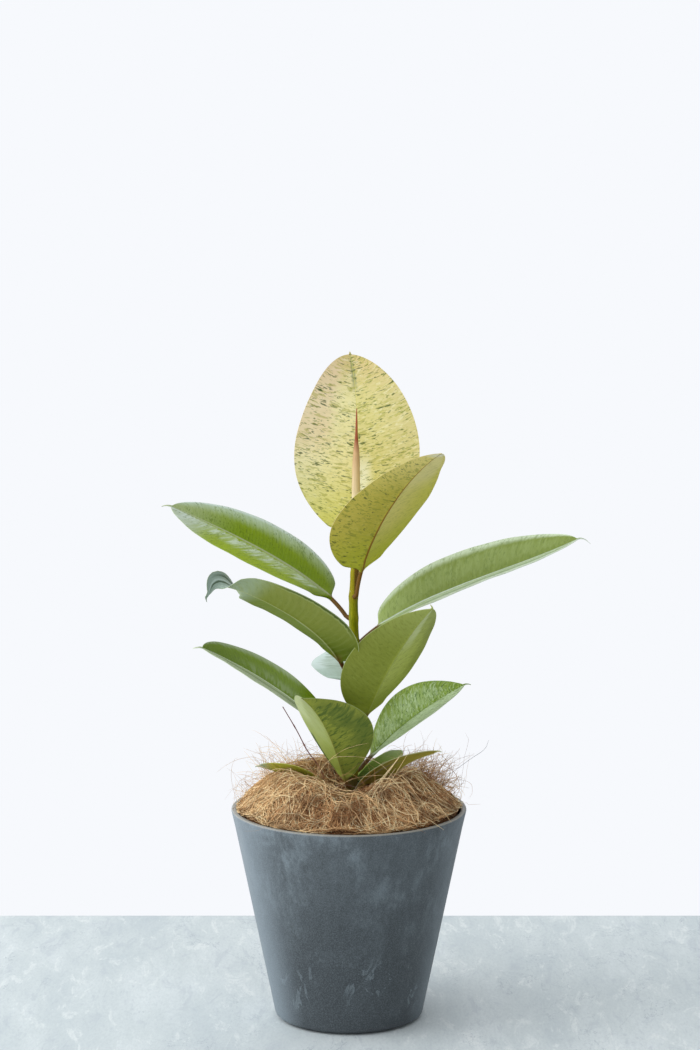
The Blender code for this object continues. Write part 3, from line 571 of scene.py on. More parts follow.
leafLooks = dict(
    topBackLeaf=dict(
        upper=dict(
            left=((255, 246, 182), (255, 246, 200)), right=((228, 218, 146), (216, 204, 142)),
            base=(216, 214, 104), baseTo=0.48, tip=(218, 196, 134), tipFrom=0.7, veinPaint=(250, 246, 206),
            rib=(226, 218, 122), ribWidth=0.7, mottle=0.5, shade=(196, 190, 84), shades=0.45, vein=0.1,
            flecks=(
                ((172, 170, 66), 0.5, 8.0, 2.2, 0.55), ((128, 140, 50), 0.7, 6.0, 1.6, 0.605),
                ((62, 88, 40), 0.85, 11.0, 2.5, 0.626), ((78, 100, 38), 0.8, 5.5, 1.3, 0.618)),
            sheensAndPatches=(
                # painted highlight: bright light on the blade just right of the bud
                ((255, 253, 226), 0.85, (-0.02, 0.03, 0.12, 0.3), (0.1, 0.2, 0.36, 0.48), 0.05, 0),
                ((140, 150, 104), 0.75, (-0.12, -0.02, 0.02, 0.1), (0.76, 0.86, 1.0, 1.1), 0.08, 0),
                ((244, 214, 180), 0.5, (-1.2, -1.1, -0.6, -0.3), (0.4, 0.6, 0.9, 1.0), 0.12, 0)),
            margin=(228, 204, 164), marginShare=0.35, stalk=(196, 168, 120)),
        under=dict(
            left=((172, 162, 86), (178, 166, 96)), veinPaint=(186, 176, 104), rib=(140, 100, 62),
            flecks=(((84, 98, 40), 0.6, 3.4, 0.8, 0.6),), margin=(200, 180, 120))),
    topFrontLeaf=dict(
        upper=dict(
            left=((196, 188, 100), (200, 190, 118)), veinPaint=(214, 206, 134), rib=(216, 206, 140),
            flecks=(((84, 98, 40), 0.8, 3.4, 0.8, 0.6),), margin=(210, 190, 140)),
        under=dict(
            left=((234, 218, 126), (222, 212, 86)), right=((200, 184, 70), (224, 204, 92)),
            tip=(244, 224, 136), tipFrom=0.55, base=(206, 206, 58), baseTo=0.42, veinPaint=(236, 222, 122),
            shade=(164, 164, 54), shades=0.45, mottle=0.3, rib=(150, 106, 42), ribWidth=1.2, ribShare=0.95,
            vein=0.12,
            flecks=(
                ((146, 146, 54), 0.55, 7.5, 2.6, 0.55), ((74, 86, 40), 0.75, 11.0, 2.6, 0.626),
                ((84, 94, 38), 0.65, 5.5, 1.4, 0.632)),
            fleckSides=(0.22, 1.0),
            sheensAndPatches=(
                ((240, 226, 160), 0.55, (-0.95, -0.7, -0.1, -0.02), (0.55, 0.75, 1.0, 1.1), 0.1, 0),
                ((244, 238, 206), 0.8, (-1.0, -0.8, 0.8, 1.0), (0.94, 0.98, 1.2, 1.3), 0.0, 0)),
            margin=(232, 216, 130), stalk=(136, 96, 40), stalkReach=10.0, roughness=0.55)),
    upperLeftLeaf=dict(
        upper=dict(
            left=((134, 154, 30), (136, 158, 8)), right=((102, 126, 0), (120, 142, 10)),
            tip=(146, 160, 112), tipFrom=0.6, base=(108, 130, 0), veinPaint=(132, 152, 60), vein=0.22,
            veinGap=3.0, mottle=0.2, rib=(150, 160, 122), ribWidth=2.0, ribShare=0.9,
            flecks=(((72, 94, 0), 0.55, 3.0, 1.3, 0.57),), shade=(88, 112, 0), shades=0.35,
            # painted sheen: a bluish band along the far edge, streaks beside the rib on the near half, a
            # pale tip
            sheensAndPatches=(
                ((178, 196, 176), 0.7, (0.44, 0.94, 1.2, 1.3), (-0.1, 0.4, 0.92, 1.02), 0.06, 0.12),
                ((200, 214, 210), 0.75, (0.86, 0.98, 1.2, 1.3), (0.05, 0.2, 0.96, 1.0), 0.0, 0),
                ((194, 208, 192), 0.72, (-0.66, -0.3, -0.12, -0.05), (0.02, 0.15, 0.95, 1.02), 0.16, 0.7),
                ((184, 196, 184), 0.8, (-1.3, -1.2, -0.2, -0.05), (0.72, 0.92, 1.1, 1.2), 0.1, 0.3)),
            margin=(184, 196, 150), roughness=0.4, gloss=0.08, relief=0.3),
        under=dict(
            left=((124, 134, 66), (128, 138, 72)), veinPaint=(140, 150, 84), rib=(150, 150, 90),
            roughness=0.6)),
    upperRightLeaf=dict(
        upper=dict(
            left=((114, 130, 54), (116, 132, 54)), right=((170, 186, 150), (196, 208, 186)),
            base=(150, 168, 92), baseTo=0.34, veinPaint=(150, 166, 100), vein=0.16, veinGap=5.4,
            veinFrom=0.3, rib=(204, 216, 202), ribWidth=1.3, ribShare=0.85, shade=(90, 110, 34), shades=0.4,
            flecks=(((74, 94, 40), 0.65, 2.4, 0.9, 0.64), ((92, 112, 40), 0.4, 7.0, 2.2, 0.57)),
            sheensAndPatches=(
                ((196, 210, 178), 0.85, (-1.3, -1.2, -0.96, -0.74), (0.0, 0.15, 1.0, 1.1), 0.04, 0),
                ((156, 172, 112), 0.3, (-0.8, -0.6, -0.3, -0.15), (0.0, 0.15, 0.85, 1.0), 0.2, 0.5),
                ((120, 142, 96), 0.75, (0.36, 0.48, 0.62, 0.74), (0.0, 0.1, 0.9, 1.0), 0.03, 0)),
            margin=(206, 216, 196), roughness=0.38, gloss=0.2),
        under=dict(
            left=((136, 148, 92), (142, 154, 100)), veinPaint=(150, 162, 108), rib=(160, 166, 112),
            roughness=0.6)),
    middleLeftLeaf=dict(
        upper=dict(
            left=((84, 104, 34), (80, 100, 36)), right=((104, 124, 84), (126, 144, 116)),
            tip=(146, 164, 150), tipFrom=0.66, tipTo=0.8, veinPaint=(140, 156, 132), rib=(168, 182, 164),
            ribWidth=0.8,
            sheensAndPatches=(
                ((66, 84, 60), 0.85, (0.2, 0.26, 0.32, 0.4), (0.7, 0.76, 0.93, 0.99), 0.04, 0),
                ((60, 78, 54), 0.85, (0.62, 0.68, 0.74, 0.84), (0.68, 0.74, 0.88, 0.94), 0.04, 0),
                ((186, 202, 192), 0.6, (0.34, 0.42, 0.46, 0.54), (0.7, 0.76, 0.95, 1.0), 0.04, 0)),
            margin=(150, 164, 120), marginShare=0.5, roughness=0.36, gloss=0.15, relief=0.4),
        under=dict(
            left=((130, 140, 54), (136, 144, 64)), right=((112, 130, 34), (116, 132, 40)),
            base=(86, 104, 0), baseTo=0.4, tip=(160, 176, 140), tipFrom=0.66, tipTo=0.8,
            veinPaint=(148, 158, 84), vein=0.26, veinGap=6.2, veinFrom=0.25, shade=(98, 114, 34),
            shades=0.35, rib=(176, 182, 120), ribWidth=0.6, margin=(186, 196, 138), marginWidth=0.8,
            sheensAndPatches=(
                ((70, 88, 38), 0.9, (-1.4, -1.3, -0.93, -0.88), (0.24, 0.34, 0.6, 0.7), 0.05, 0),
                ((160, 172, 110), 0.5, (-0.92, -0.89, -0.87, -0.84), (0.2, 0.3, 0.62, 0.74), 0.04, 0),
                ((176, 190, 160), 0.7, (0.04, 0.08, 0.12, 0.17), (0.08, 0.16, 0.36, 0.5), 0.0, 0)),
            marginShare=0.7, stalk=(104, 64, 32), stalkReach=18.0, roughness=0.6)),
    smallBackLeaf=dict(
        upper=dict(
            left=((140, 162, 140), (160, 182, 168)), veinPaint=(182, 200, 190), vein=0.5, veinGap=2.2,
            rib=(196, 208, 190), margin=(192, 208, 196), roughness=0.34, gloss=0.4,
            sheensAndPatches=(
                ((100, 130, 96), 0.7, (-0.62, -0.5, -0.3, -0.1), (0.2, 0.3, 0.8, 0.9), 0.5, 0.9),
                ((190, 208, 202), 0.7, (-1.3, -1.2, -0.8, -0.6), (0.2, 0.3, 0.8, 0.9), 0.3, 0.3))),
        under=dict(
            left=((110, 124, 64), (116, 130, 70)), veinPaint=(130, 142, 82), rib=(150, 156, 100),
            roughness=0.6)),
    middleFrontLeaf=dict(
        upper=dict(
            left=((92, 112, 50), (98, 118, 58)), veinPaint=(124, 140, 84), rib=(150, 162, 110),
            roughness=0.35),
        under=dict(
            left=((190, 200, 102), (178, 188, 82)), right=((140, 150, 58), (142, 150, 62)),
            tip=(166, 176, 94), tipFrom=0.5, base=(138, 150, 42), baseTo=0.36, veinPaint=(166, 176, 84),
            vein=0.16, veinGap=4.4, veinFrom=0.4, rib=(160, 168, 80), ribWidth=0.5, shade=(112, 122, 42),
            shades=0.6, mottle=0.3,
            sheensAndPatches=(
                ((208, 216, 158), 0.75, (-0.42, -0.26, -0.08, -0.01), (0.5, 0.7, 1.0, 1.1), 0.06, 0.2),
                ((118, 130, 44), 0.5, (-1.2, -1.1, -0.8, -0.6), (0.2, 0.35, 0.75, 0.9), 0.12, 0.3)),
            margin=(204, 212, 140), marginShare=0.6, roughness=0.6)),
    lowerLeftLeaf=dict(
        upper=dict(
            left=((170, 186, 140), (176, 190, 150)), right=((100, 126, 0), (112, 138, 14)),
            veinPaint=(140, 158, 92), rib=(206, 216, 190), ribWidth=1.3, shade=(76, 98, 10), shades=0.4,
            sheensAndPatches=(
                ((178, 192, 162), 0.6, (0.7, 0.98, 1.2, 1.3), (0.3, 0.5, 0.95, 1.0), 0.1, 0),
                ((150, 168, 120), 0.5, (0.1, 0.24, 0.34, 0.6), (0.15, 0.3, 0.6, 0.8), 0.2, 0.8),
                ((96, 118, 62), 0.7, (-0.5, -0.4, -0.32, -0.22), (0.0, 0.1, 0.8, 0.95), 0, 0)),
            margin=(206, 216, 190), roughness=0.38, gloss=0.2),
        under=dict(
            left=((120, 132, 70), (126, 138, 76)), veinPaint=(140, 150, 90), rib=(156, 160, 104),
            roughness=0.6)),
    lowerRightLeaf=dict(
        upper=dict(
            left=((132, 158, 62), (134, 158, 60)), right=((158, 180, 122), (172, 192, 146)),
            veinPaint=(168, 192, 118), vein=0.3, veinGap=3.0, rib=(104, 128, 62), ribWidth=0.7,
            flecks=(
                ((64, 92, 34), 0.75, 3.0, 1.2, 0.6), ((96, 126, 44), 0.6, 5.0, 2.0, 0.54),
                ((188, 208, 160), 0.6, 4.0, 1.6, 0.56)),
            shade=(98, 128, 32), shades=0.4,
            # painted sheen: streaks on the blistered far half and a pale band on the near half
            sheensAndPatches=(
                ((176, 198, 150), 0.6, (-0.85, -0.6, -0.16, -0.05), (0.1, 0.2, 0.7, 0.9), 0.3, 0.6),
                ((196, 212, 180), 0.55, (0.05, 0.12, 0.4, 0.8), (0.1, 0.3, 0.95, 1.1), 0.2, 0.5)),
            margin=(176, 194, 150), roughness=0.34, gloss=0.3, relief=0.8),
        under=dict(
            left=((130, 146, 86), (136, 150, 92)), veinPaint=(146, 160, 104), rib=(160, 170, 116),
            roughness=0.6)),
    lowFrontLeaf=dict(
        upper=dict(
            left=((78, 98, 34), (84, 104, 40)), veinPaint=(120, 136, 82), rib=(150, 160, 108),
            roughness=0.35),
        under=dict(
            left=((148, 158, 64), (140, 149, 64)), right=((150, 162, 80), (158, 170, 96)),
            base=(134, 144, 58), baseTo=0.45, veinPaint=(164, 174, 94), vein=0.14,
            flecks=(((84, 106, 48), 0.8, 8.0, 2.4, 0.55), ((92, 112, 48), 0.6, 3.4, 1.0, 0.58)),
            fleckSides=(1.0, 0.0), shade=(92, 112, 52), shades=0.3, rib=(140, 142, 66), ribWidth=0.5,
            sheensAndPatches=(
                ((84, 106, 48), 0.8, (-0.9, -0.6, -0.2, -0.1), (0.48, 0.62, 0.8, 0.92), 0.35, 0.5),
                ((90, 110, 48), 0.7, (-1.1, -1.0, -0.62, -0.36), (0.22, 0.36, 0.56, 0.7), 0.3, 0.3),
                ((190, 202, 150), 0.7, (0.52, 0.74, 1.2, 1.3), (0.45, 0.6, 1.0, 1.1), 0.12, 0.2),
                ((58, 80, 30), 0.95, (0.84, 0.88, 1.4, 1.5), (0.02, 0.08, 0.34, 0.4), 0.02, 0),
                ((178, 190, 144), 0.35, (0.1, 0.25, 0.6, 0.8), (0.3, 0.5, 1.0, 1.1), 0.2, 0.4)),
            margin=(176, 184, 130), roughness=0.55)),
    baseBackLeaf=dict(
        upper=dict(
            # the dark base is painted shade on the low part of the leaf among the fibres
            left=((96, 116, 44), (118, 136, 62)), base=(44, 62, 12), baseTo=0.6, veinPaint=(132, 148, 80),
            shades=0.4, shade=(60, 80, 20), rib=(150, 172, 84), ribWidth=1.3, margin=(150, 166, 100),
            roughness=0.45, gloss=0.06),
        under=dict(
            left=((76, 88, 36), (84, 96, 42)), veinPaint=(100, 112, 56), rib=(116, 122, 70),
            roughness=0.6)),
    baseRightLeaf=dict(
        upper=dict(
            # the dark base is painted shade on the part of the blade next to the stem
            left=((72, 98, 80), (96, 120, 108)), right=((140, 136, 56), (148, 142, 70)), base=(44, 58, 14),
            baseTo=0.45, veinPaint=(116, 134, 84), shade=(70, 84, 26), rib=(196, 206, 160), ribWidth=0.9,
            margin=(188, 194, 160), marginWidth=0.7, marginShare=0.6, roughness=0.4, gloss=0.12),
        under=dict(
            left=((164, 152, 62), (172, 160, 66)), veinPaint=(180, 170, 92), shade=(120, 114, 36),
            shades=0.4, rib=(180, 168, 92), margin=(216, 210, 160), marginWidth=0.9, marginShare=0.85,
            roughness=0.6)),
    baseLeftLeaf=dict(
        upper=dict(
            left=((192, 198, 62), (196, 202, 70)), tip=(160, 188, 176), tipFrom=0.78,
            veinPaint=(180, 180, 100), rib=(190, 188, 112), roughness=0.4),
        under=dict(
            left=((190, 196, 62), (194, 200, 70)), tip=(160, 188, 176), tipFrom=0.78,
            veinPaint=(184, 176, 100), rib=(176, 168, 94), roughness=0.6)))


def stemCentre(height):
    return Vector((readLine(stemLine, height, 1), 0.0, height))


def midribCurve(leaf):
    # points along the midrib from the stalk's elbow to the blade's tip, with their distances
    azimuth = spiral["start"] + spiral["step"] * leaf["turn"]
    outward = heading(azimuth + leaf.get("footTurn", 0), 0)
    reachOut = readLine(stemLine, leaf["height"], 2) + blade["elbowOut"]
    start = stemCentre(leaf["height"]) + outward * reachOut + Vector((0, 0, blade["elbowUp"]))
    tip = Vector(leaf["tip"])
    hand = leaf["reach"] * (tip - start).length
    lift = start + hand * heading(azimuth + leaf["swing"], leaf["rise"])
    settle = tip - hand * heading(leaf["tipAzimuth"], leaf["tipRise"])
    t = np.linspace(0, 1, 401)[:, None]
    u = 1 - t
    points = (np.array(start) * u ** 3 + np.array(lift) * 3 * t * u ** 2
              + np.array(settle) * 3 * t ** 2 * u + np.array(tip) * t ** 3)
    if "tail" in leaf:
        kept = points[:-leaf["tailCut"]]
        points = np.concatenate([kept, splineCourse([kept[-12], kept[-1], *leaf["tail"]], 121)[31:]])
    steps = np.linalg.norm(np.diff(points, axis=0), axis=1)
    return points, np.concatenate([[0], np.cumsum(steps)])


def curvePoint(points, distances, distance):
    distance = min(max(distance, 0.0), distances[-1])
    here = Vector([float(np.interp(distance, distances, points[:, k])) for k in range(3)])
    i = int(np.clip(np.searchsorted(distances, distance), 2, len(distances) - 2))
    return here, Vector(points[i + 1] - points[i - 2]).normalized()


def bladeHalf(leaf, t):
    power = math.log(0.5) / math.log(leaf["widest"])
    wave = math.sin(math.pi * min(1.0, max(0.0, t)) ** power)
    full = leaf["fullness"]
    full += (leaf.get("tipFullness", full) - full) * smoothStep((t - 0.55) / 0.4)
    return leaf["width"] / 2 * max(0.0, wave) ** full


def twistShare(leaf, t):
    return smoothStep((t - leaf.get("twistAt", 1.0)) / leaf.get("twistReach", 0.2))


def halfSkew(leaf, t):
    return leaf["skew"] + leaf.get("tipSkew", 0) * twistShare(leaf, t)


def leafSides(leaf, direction, t):
    azimuth = math.radians(spiral["start"] + spiral["step"] * leaf["turn"])
    level = Vector((math.sin(azimuth), -math.cos(azimuth), 0.0))
    side = (level - direction * level.dot(direction)).normalized()
    up = side.cross(direction)
    turn = leaf["roll"] + leaf["twist"] * (t - 0.5)
    turn += leaf.get("tipTwist", 0) * twistShare(leaf, t)
    turn = math.radians(turn)
    return side * math.cos(turn) - up * math.sin(turn), up * math.cos(turn) + side * math.sin(turn)


# how far out each column of a ring stands: near the midrib in rib widths, then in shares of the rest
ribColumns = (0.0, 0.45, 0.9, 1.5)
restColumns = (0.06, 0.15, 0.26, 0.38, 0.50, 0.61, 0.71, 0.79, 0.85, 0.89, 0.925, 0.955, 0.98, 1.0)


def sectionPoints(leaf, t, half, sign, ribHalf):
    # across the blade from the midrib to one edge: place, height, normal and share of the half width
    halfWidth = half * (1 + sign * halfSkew(leaf, t))
    rib = min(ribHalf, halfWidth / 3)
    outs = [rib * column for column in ribColumns]
    rest = halfWidth - outs[-1]
    outs += [outs[-1] + rest * column for column in restColumns]
    fold = math.radians(leaf["fold"] + leaf.get("rightFold" if sign > 0 else "leftFold", 0))
    curl = math.radians(leaf["curl"])
    found, x, z, last = [], 0.0, 0.0, 0.0
    for out in outs:
        middle = (out + last) / 2 / halfWidth
        angle = fold + curl * middle
        x += (out - last) * math.cos(angle)
        z += (out - last) * math.sin(angle)
        last = out
        found.append((sign * x, z, -sign * math.sin(angle), math.cos(angle), out))
    return found


def ringPoints(leaf, t, half, morph, wide, radius, ripple):
    # one ring of the leaf: its upper side from left to right, then its lower side back again
    ribShare = max(0.12, (1 - min(1.0, max(0.0, t))) ** 0.7)
    ribHalf = blade["ribHalf"] * (0.35 + 0.65 * ribShare)
    left = sectionPoints(leaf, t, half, -1, ribHalf)
    right = sectionPoints(leaf, t, half, 1, ribHalf)
    across = left[:0:-1] + right
    count = len(across)
    upper, lower = [], []
    for j, (x, z, normalX, normalZ, out) in enumerate(across):
        share = (j - count // 2) / (count // 2)
        roundAngle = math.radians(86 * share)
        edge = min(1.0, out / max(half, 1e-6))
        thick = blade["thickness"] + (blade["edgeThickness"] - blade["thickness"]) * edge ** 6
        inner = out / ribHalf
        ridge = blade["ribHeight"] * ribShare * math.exp(-1.3 * inner * inner)
        groove = 0.22 * blade["ribHeight"] * ribShare * math.exp(-2.2 * inner * inner)
        wave = ripple(x * 1000, edge)
        top, bottom = thick / 2 - groove + wave, -thick / 2 - ridge + wave
        for rows, deep, up in ((upper, top, 1), (lower, bottom, -1)):
            flatX, flatZ = x + normalX * deep, z + normalZ * deep
            roundX, roundZ = radius * math.sin(roundAngle), up * radius * math.cos(roundAngle)
            rows.append((roundX + (flatX - roundX) * wide, roundZ + (flatZ - roundZ) * morph, out, x))
    return upper + lower[::-1]


def leafStations():
    # the kind and the share of each ring, from the stalk's foot to the drip tip
    footRings = 3
    stalkRings = blade["stalkRings"] - footRings
    bladeRings, dripRings = blade["bladeRings"], blade["dripRings"]
    stations = [("foot", i / footRings) for i in range(footRings)]
    stations += [("stalk", i / stalkRings) for i in range(stalkRings)]
    for share in (i / (bladeRings - 1) for i in range(bladeRings)):
        stations.append(("blade", share - blade["crowding"] * math.sin(2 * math.pi * share)))
    return stations + [("drip", (i + 1) / dripRings) for i in range(dripRings)]


def shapeLeaf(leaf, ripplePhase):
    # the places of all rings, and what the paints read from them
    points, distances = midribCurve(leaf)
    length = distances[-1] - leaf["stalk"]
    azimuth = spiral["start"] + spiral["step"] * leaf["turn"]
    outward = heading(azimuth + leaf.get("footTurn", 0), 0)
    foot = stemCentre(leaf["height"]) + outward * (readLine(stemLine, leaf["height"], 2) - blade["footSink"])
    start, startWay = curvePoint(points, distances, 0.0)
    bend = foot + outward * blade["footBend"]
    places, readings = [], []
    for kind, share in leafStations():
        t, morph, wide, radius = 0.0, 0.0, 0.0, blade["stalkRadius"]
        half = radius
        if kind == "foot":
            here = foot.lerp(bend, share).lerp(bend.lerp(start, share), share)
            direction = outward.lerp(startWay, share).normalized()
            radius *= 1 + blade["footFlare"] * (1 - share)
            along = -leaf["stalk"]
        elif kind == "stalk":
            here, direction = curvePoint(points, distances, leaf["stalk"] * share)
            along = leaf["stalk"] * (share - 1)
        elif kind == "blade":
            t = share
            here, direction = curvePoint(points, distances, leaf["stalk"] + length * t)
            half = max(bladeHalf(leaf, t), radius + (blade["dripWidth"] - radius) * t)
            morph = smoothStep(t / blade["morphReach"])
            wide = smoothStep(t / blade["baseFade"])
            along = length * t
        else:
            t, morph, wide = 1.0, 1.0, 1.0
            drip = Vector(leaf["drip"])
            end, way = curvePoint(points, distances, distances[-1])
            here = end + (way * drip.length).lerp(drip, share) * share
            half = blade["dripWidth"] + (blade["dripEnd"] - blade["dripWidth"]) * share
            along = length + drip.length * share
        side, up = leafSides(leaf, outward if kind == "foot" else direction, t)
        fade = smoothStep(t / blade["rippleStart"]) * smoothStep((1 - t) / blade["rippleEnd"])

        def ripple(acrossMm, edge):
            alongMm = along * 1000
            swell = math.sin(alongMm / 13 + ripplePhase + acrossMm / 17)
            lobes = math.sin(alongMm / 5.2 - abs(acrossMm) * 0.09 + 2 * ripplePhase)
            return fade * (blade["swell"] * swell * edge + blade["lobes"] * lobes * (0.4 + edge))

        ring = ringPoints(leaf, t, half, morph, wide, radius, ripple)
        places.append([here + side * x + up * z for x, z, _, _ in ring])
        row = []
        for _, _, out, x in ring:
            sign = -1 if x < 0 else 1
            edge = min(1.0, out / max(half * (1 + sign * halfSkew(leaf, t)), 1e-6))
            outMm, alongMm = out * 1000, along * 1000
            veinMm = alongMm - leaf.get("veinSlope", 0.40) * (outMm + blade["veinHook"] * edge ** 3)
            row.append((sign * edge, along / length, half * 1000 * (1 - edge),
                        sign * outMm, alongMm, veinMm))
        readings.append(row)
    return np.array(places), np.array(readings)


def windowShare(tree, value, window):
    rise = between(tree, value, window[0], window[1])
    return times(tree, rise, between(tree, value, window[3], window[2]))


def leafPaint(name, look):
    # veined and flecked leaf skin. leafShare holds the share across, the share along and the
    # distance to the edge. leafMeasure holds the distances across, along and along the veins.
    look = {**commonLook, **look}
    paint, tree, shader = newPaint(name, look["roughness"], look["gloss"])
    across, along, toEdge = splitVector(tree, readAttribute(tree, "leafShare"))
    acrossMm, alongMm, veinMm = splitVector(tree, readAttribute(tree, "leafMeasure"))
    outShare = compute(tree, "ABSOLUTE", across)
    outMm = compute(tree, "ABSOLUTE", acrossMm)
    skin = addNode(tree, "ShaderNodeCombineXYZ", {"X": acrossMm, "Y": veinMm}).outputs[0]
    outward = between(tree, outShare, 0.05, 0.95)
    rightHalf = between(tree, across, -0.02, 0.02)
    colour = mixPaint(tree, outward, *look["left"])
    if "right" in look:
        colour = mixPaint(tree, rightHalf, colour, mixPaint(tree, outward, *look["right"]))
    if look["base"]:
        colour = mixPaint(tree, between(tree, along, look["baseTo"], 0.0), colour, look["base"])
    if look["tip"]:
        colour = mixPaint(tree, between(tree, along, look["tipFrom"], look["tipTo"]), colour, look["tip"])
    # cloudy lighter and darker patches, drawn out along the side veins
    cloud = noise(tree, stretchTo(tree, skin, (0.13, 0.32, 1)), 1.0, 5, 0.65, 0.5)
    colour = mixPaint(tree, between(tree, cloud, 0.50, 0.70, 0.0, look["mottle"]), colour, look["veinPaint"])
    cloud = noise(tree, stretchTo(tree, skin, (0.20, 0.5, 1), (9, 4, 0)), 1.0, 5, 0.68, 0.6)
    colour = mixPaint(tree, between(tree, cloud, 0.46, 0.72, 0.0, look["shades"]), colour, look["shade"])
    # side veins: fine broken lines that run out and towards the tip
    ripple = addNode(tree, "ShaderNodeTexWave", {
        "Vector": addNode(tree, "ShaderNodeCombineXYZ", {"X": veinMm, "Y": acrossMm}).outputs[0],
        "Scale": math.pi / 10 / look["veinGap"], "Distortion": 2.6, "Detail": 3.0, "Detail Scale": 0.7},
        wave_type="BANDS", bands_direction="X", wave_profile="SIN").outputs["Fac"]
    ragged = noise(tree, stretchTo(tree, skin, (0.07, 0.45, 1)), 1.0, 4, 0.65)
    fade = between(tree, outShare, 1.0, 0.7)
    fade = times(tree, fade, between(tree, ragged, 0.38, 0.62, 0.1, 1.0))
    veins = times(tree, between(tree, ripple, look["veinFrom"], 1.0), fade)
    colour = mixPaint(tree, times(tree, veins, look["vein"]), colour, look["veinPaint"])
    # soft patches: most of them painted sheen on the glossy skin, the others the leaf's own patches of
    # colour
    brush = noise(tree, stretchTo(tree, skin, (0.05, 0.26, 1), (2, 5, 0)), 1.0, 2, 0.5)
    stray = compute(tree, "SUBTRACT", brush, 0.5)
    for sheenPatchPaint, strength, acrossWindow, alongWindow, feather, striped in look["sheensAndPatches"]:
        shifted = plus(tree, across, times(tree, stray, 3 * feather))
        spread = times(tree, windowShare(tree, shifted, acrossWindow),
                         windowShare(tree, along, alongWindow))
        if striped:
            stripes = between(tree, brush, 0.38, 0.60, 1 - striped, 1.0)
            spread = times(tree, spread, stripes)
        colour = mixPaint(tree, times(tree, spread, strength), colour, sheenPatchPaint)
    onSide = plus(tree, look["fleckSides"][0],
                     times(tree, rightHalf, look["fleckSides"][1] - look["fleckSides"][0]))
    for layer, (fleckPaint, strength, long, wide, scarce) in enumerate(look["flecks"]):
        offset = (7.3 * layer, 3.1 * layer, 0)
        dash = noise(tree, stretchTo(tree, skin, (1 / long, 1 / wide, 1), offset), 1.0, 2, 0.55, 0.6)
        crowd = noise(tree, stretchTo(tree, skin, (0.05, 0.09, 1), offset), 1.0, 3, 0.6)
        cut = addNode(tree, "ShaderNodeMapRange", {"Value": crowd, "From Min": 0.35, "From Max": 0.65,
                                                   "To Min": scarce + 0.09, "To Max": scarce - 0.06})
        speck = between(tree, compute(tree, "SUBTRACT", dash, cut.outputs["Result"]), 0.0, 0.06)
        speck = times(tree, times(tree, speck, strength), onSide)
        colour = mixPaint(tree, speck, colour, fleckPaint)
    narrow = between(tree, along, 1.0, 0.0, 0.3, 1.0)
    ribEdge = compute(tree, "DIVIDE", outMm, narrow)
    rib = between(tree, ribEdge, look["ribWidth"] * 1.25, look["ribWidth"] * 0.6)
    colour = mixPaint(tree, times(tree, rib, look["ribShare"]), colour, look["rib"])
    margin = between(tree, toEdge, look["marginWidth"], look["marginWidth"] * 0.4, 0.0, look["marginShare"])
    margin = times(tree, margin, between(tree, along, 0.02, 0.08))
    colour = mixPaint(tree, margin, colour, look["margin"])
    stalk = between(tree, alongMm, look["stalkReach"], 0.0)
    nearRib = between(tree, outMm, 9.0, 1.0)
    onStalk = between(tree, alongMm, 0.5, -1.0)
    stalk = compute(tree, "MAXIMUM", times(tree, stalk, nearRib), onStalk)
    colour = mixPaint(tree, stalk, colour, look["stalk"])
    pores = noise(tree, skin, 2.6, 3, 0.6)
    rough = between(tree, pores, 0.3, 0.7, look["roughness"] - 0.05, look["roughness"] + 0.08)
    tree.links.new(rough, shader.inputs["Roughness"])
    relief = plus(tree, times(tree, ripple, 0.25), times(tree, pores, 0.2))
    relief = plus(tree, relief, ragged)
    finishPaint(tree, shader, colour, relief, look["relief"], 0.0006)
    return paint


leafBlankSides = 4 * len(ribColumns) - 2 + 4 * len(restColumns)
leafBlankRings = blade["stalkRings"] + blade["bladeRings"] + blade["dripRings"]


def buildLeaves():
    blank = addBlank("leafBlank", leafBlankSides, leafBlankRings)
    half = leafBlankSides // 2
    made = []
    for name, leaf in leafPlaces.items():
        piece = copyBlank(blank, name)
        places, readings = shapeLeaf(leaf, 1.7 * leaf["turn"])
        rings, columns = shapeBlank(piece, places, 50)
        setAttribute(piece.data, "leafShare", "FLOAT_VECTOR", readings[rings, columns][:, :3])
        setAttribute(piece.data, "leafMeasure", "FLOAT_VECTOR", readings[rings, columns][:, 3:])
        for face in piece.data.polygons:
            spots = [columns[i] for i in face.vertices]
            face.material_index = 1 if len(spots) == 4 and min(spots) >= half else 0
        paints = [leafPaint(name + side.capitalize(), leafLooks[name][side]) for side in ("upper", "under")]
        made.append(dressPiece(piece, leaf["slot"], leaf["node"], *paints))
    bpy.data.objects.remove(blank)
    return made


leafPieces = buildLeaves()
print("leaves are made:", len(leafPieces))


# Stem and the rolled bud above it

stemLook = dict(
    sides=32, rings=150, bulge=0.0004, bulgeReach=0.005, ringRise=0.0042, ringWidth=0.0005,
    ringDepth=0.00022, waves=((3, 90, 0.018), (5, -140, 0.012)), light=(158, 154, 10), green=(118, 126, 0),
    brown=(118, 84, 34), foot=(74, 62, 34), scar=(0.0004, -0.0032, 0.2451), roughness=0.5)
budLook = dict(
    sides=32, rings=80, foot=0.3725, lean=0.001, rollStep=0.00035, rollWide=0.0035,
    line=(
        (0.0, 0.003), (0.01, 0.0034), (0.04, 0.0035), (0.06, 0.0034), (0.078, 0.0031), (0.088, 0.0026),
        (0.0935, 0.0021), (0.098, 0.0015), (0.106, 0.001), (0.114, 0.0008), (0.1215, 0.0005),
        (0.1245, 0.0003)),
    stops=(
        (0.0, (206, 190, 140)), (0.35, (228, 212, 172)), (0.8, (204, 168, 124)), (0.9, (150, 76, 48)),
        (1.0, (164, 92, 58))),
    edgeStart=-55, edgeClimb=70, roughness=0.45)


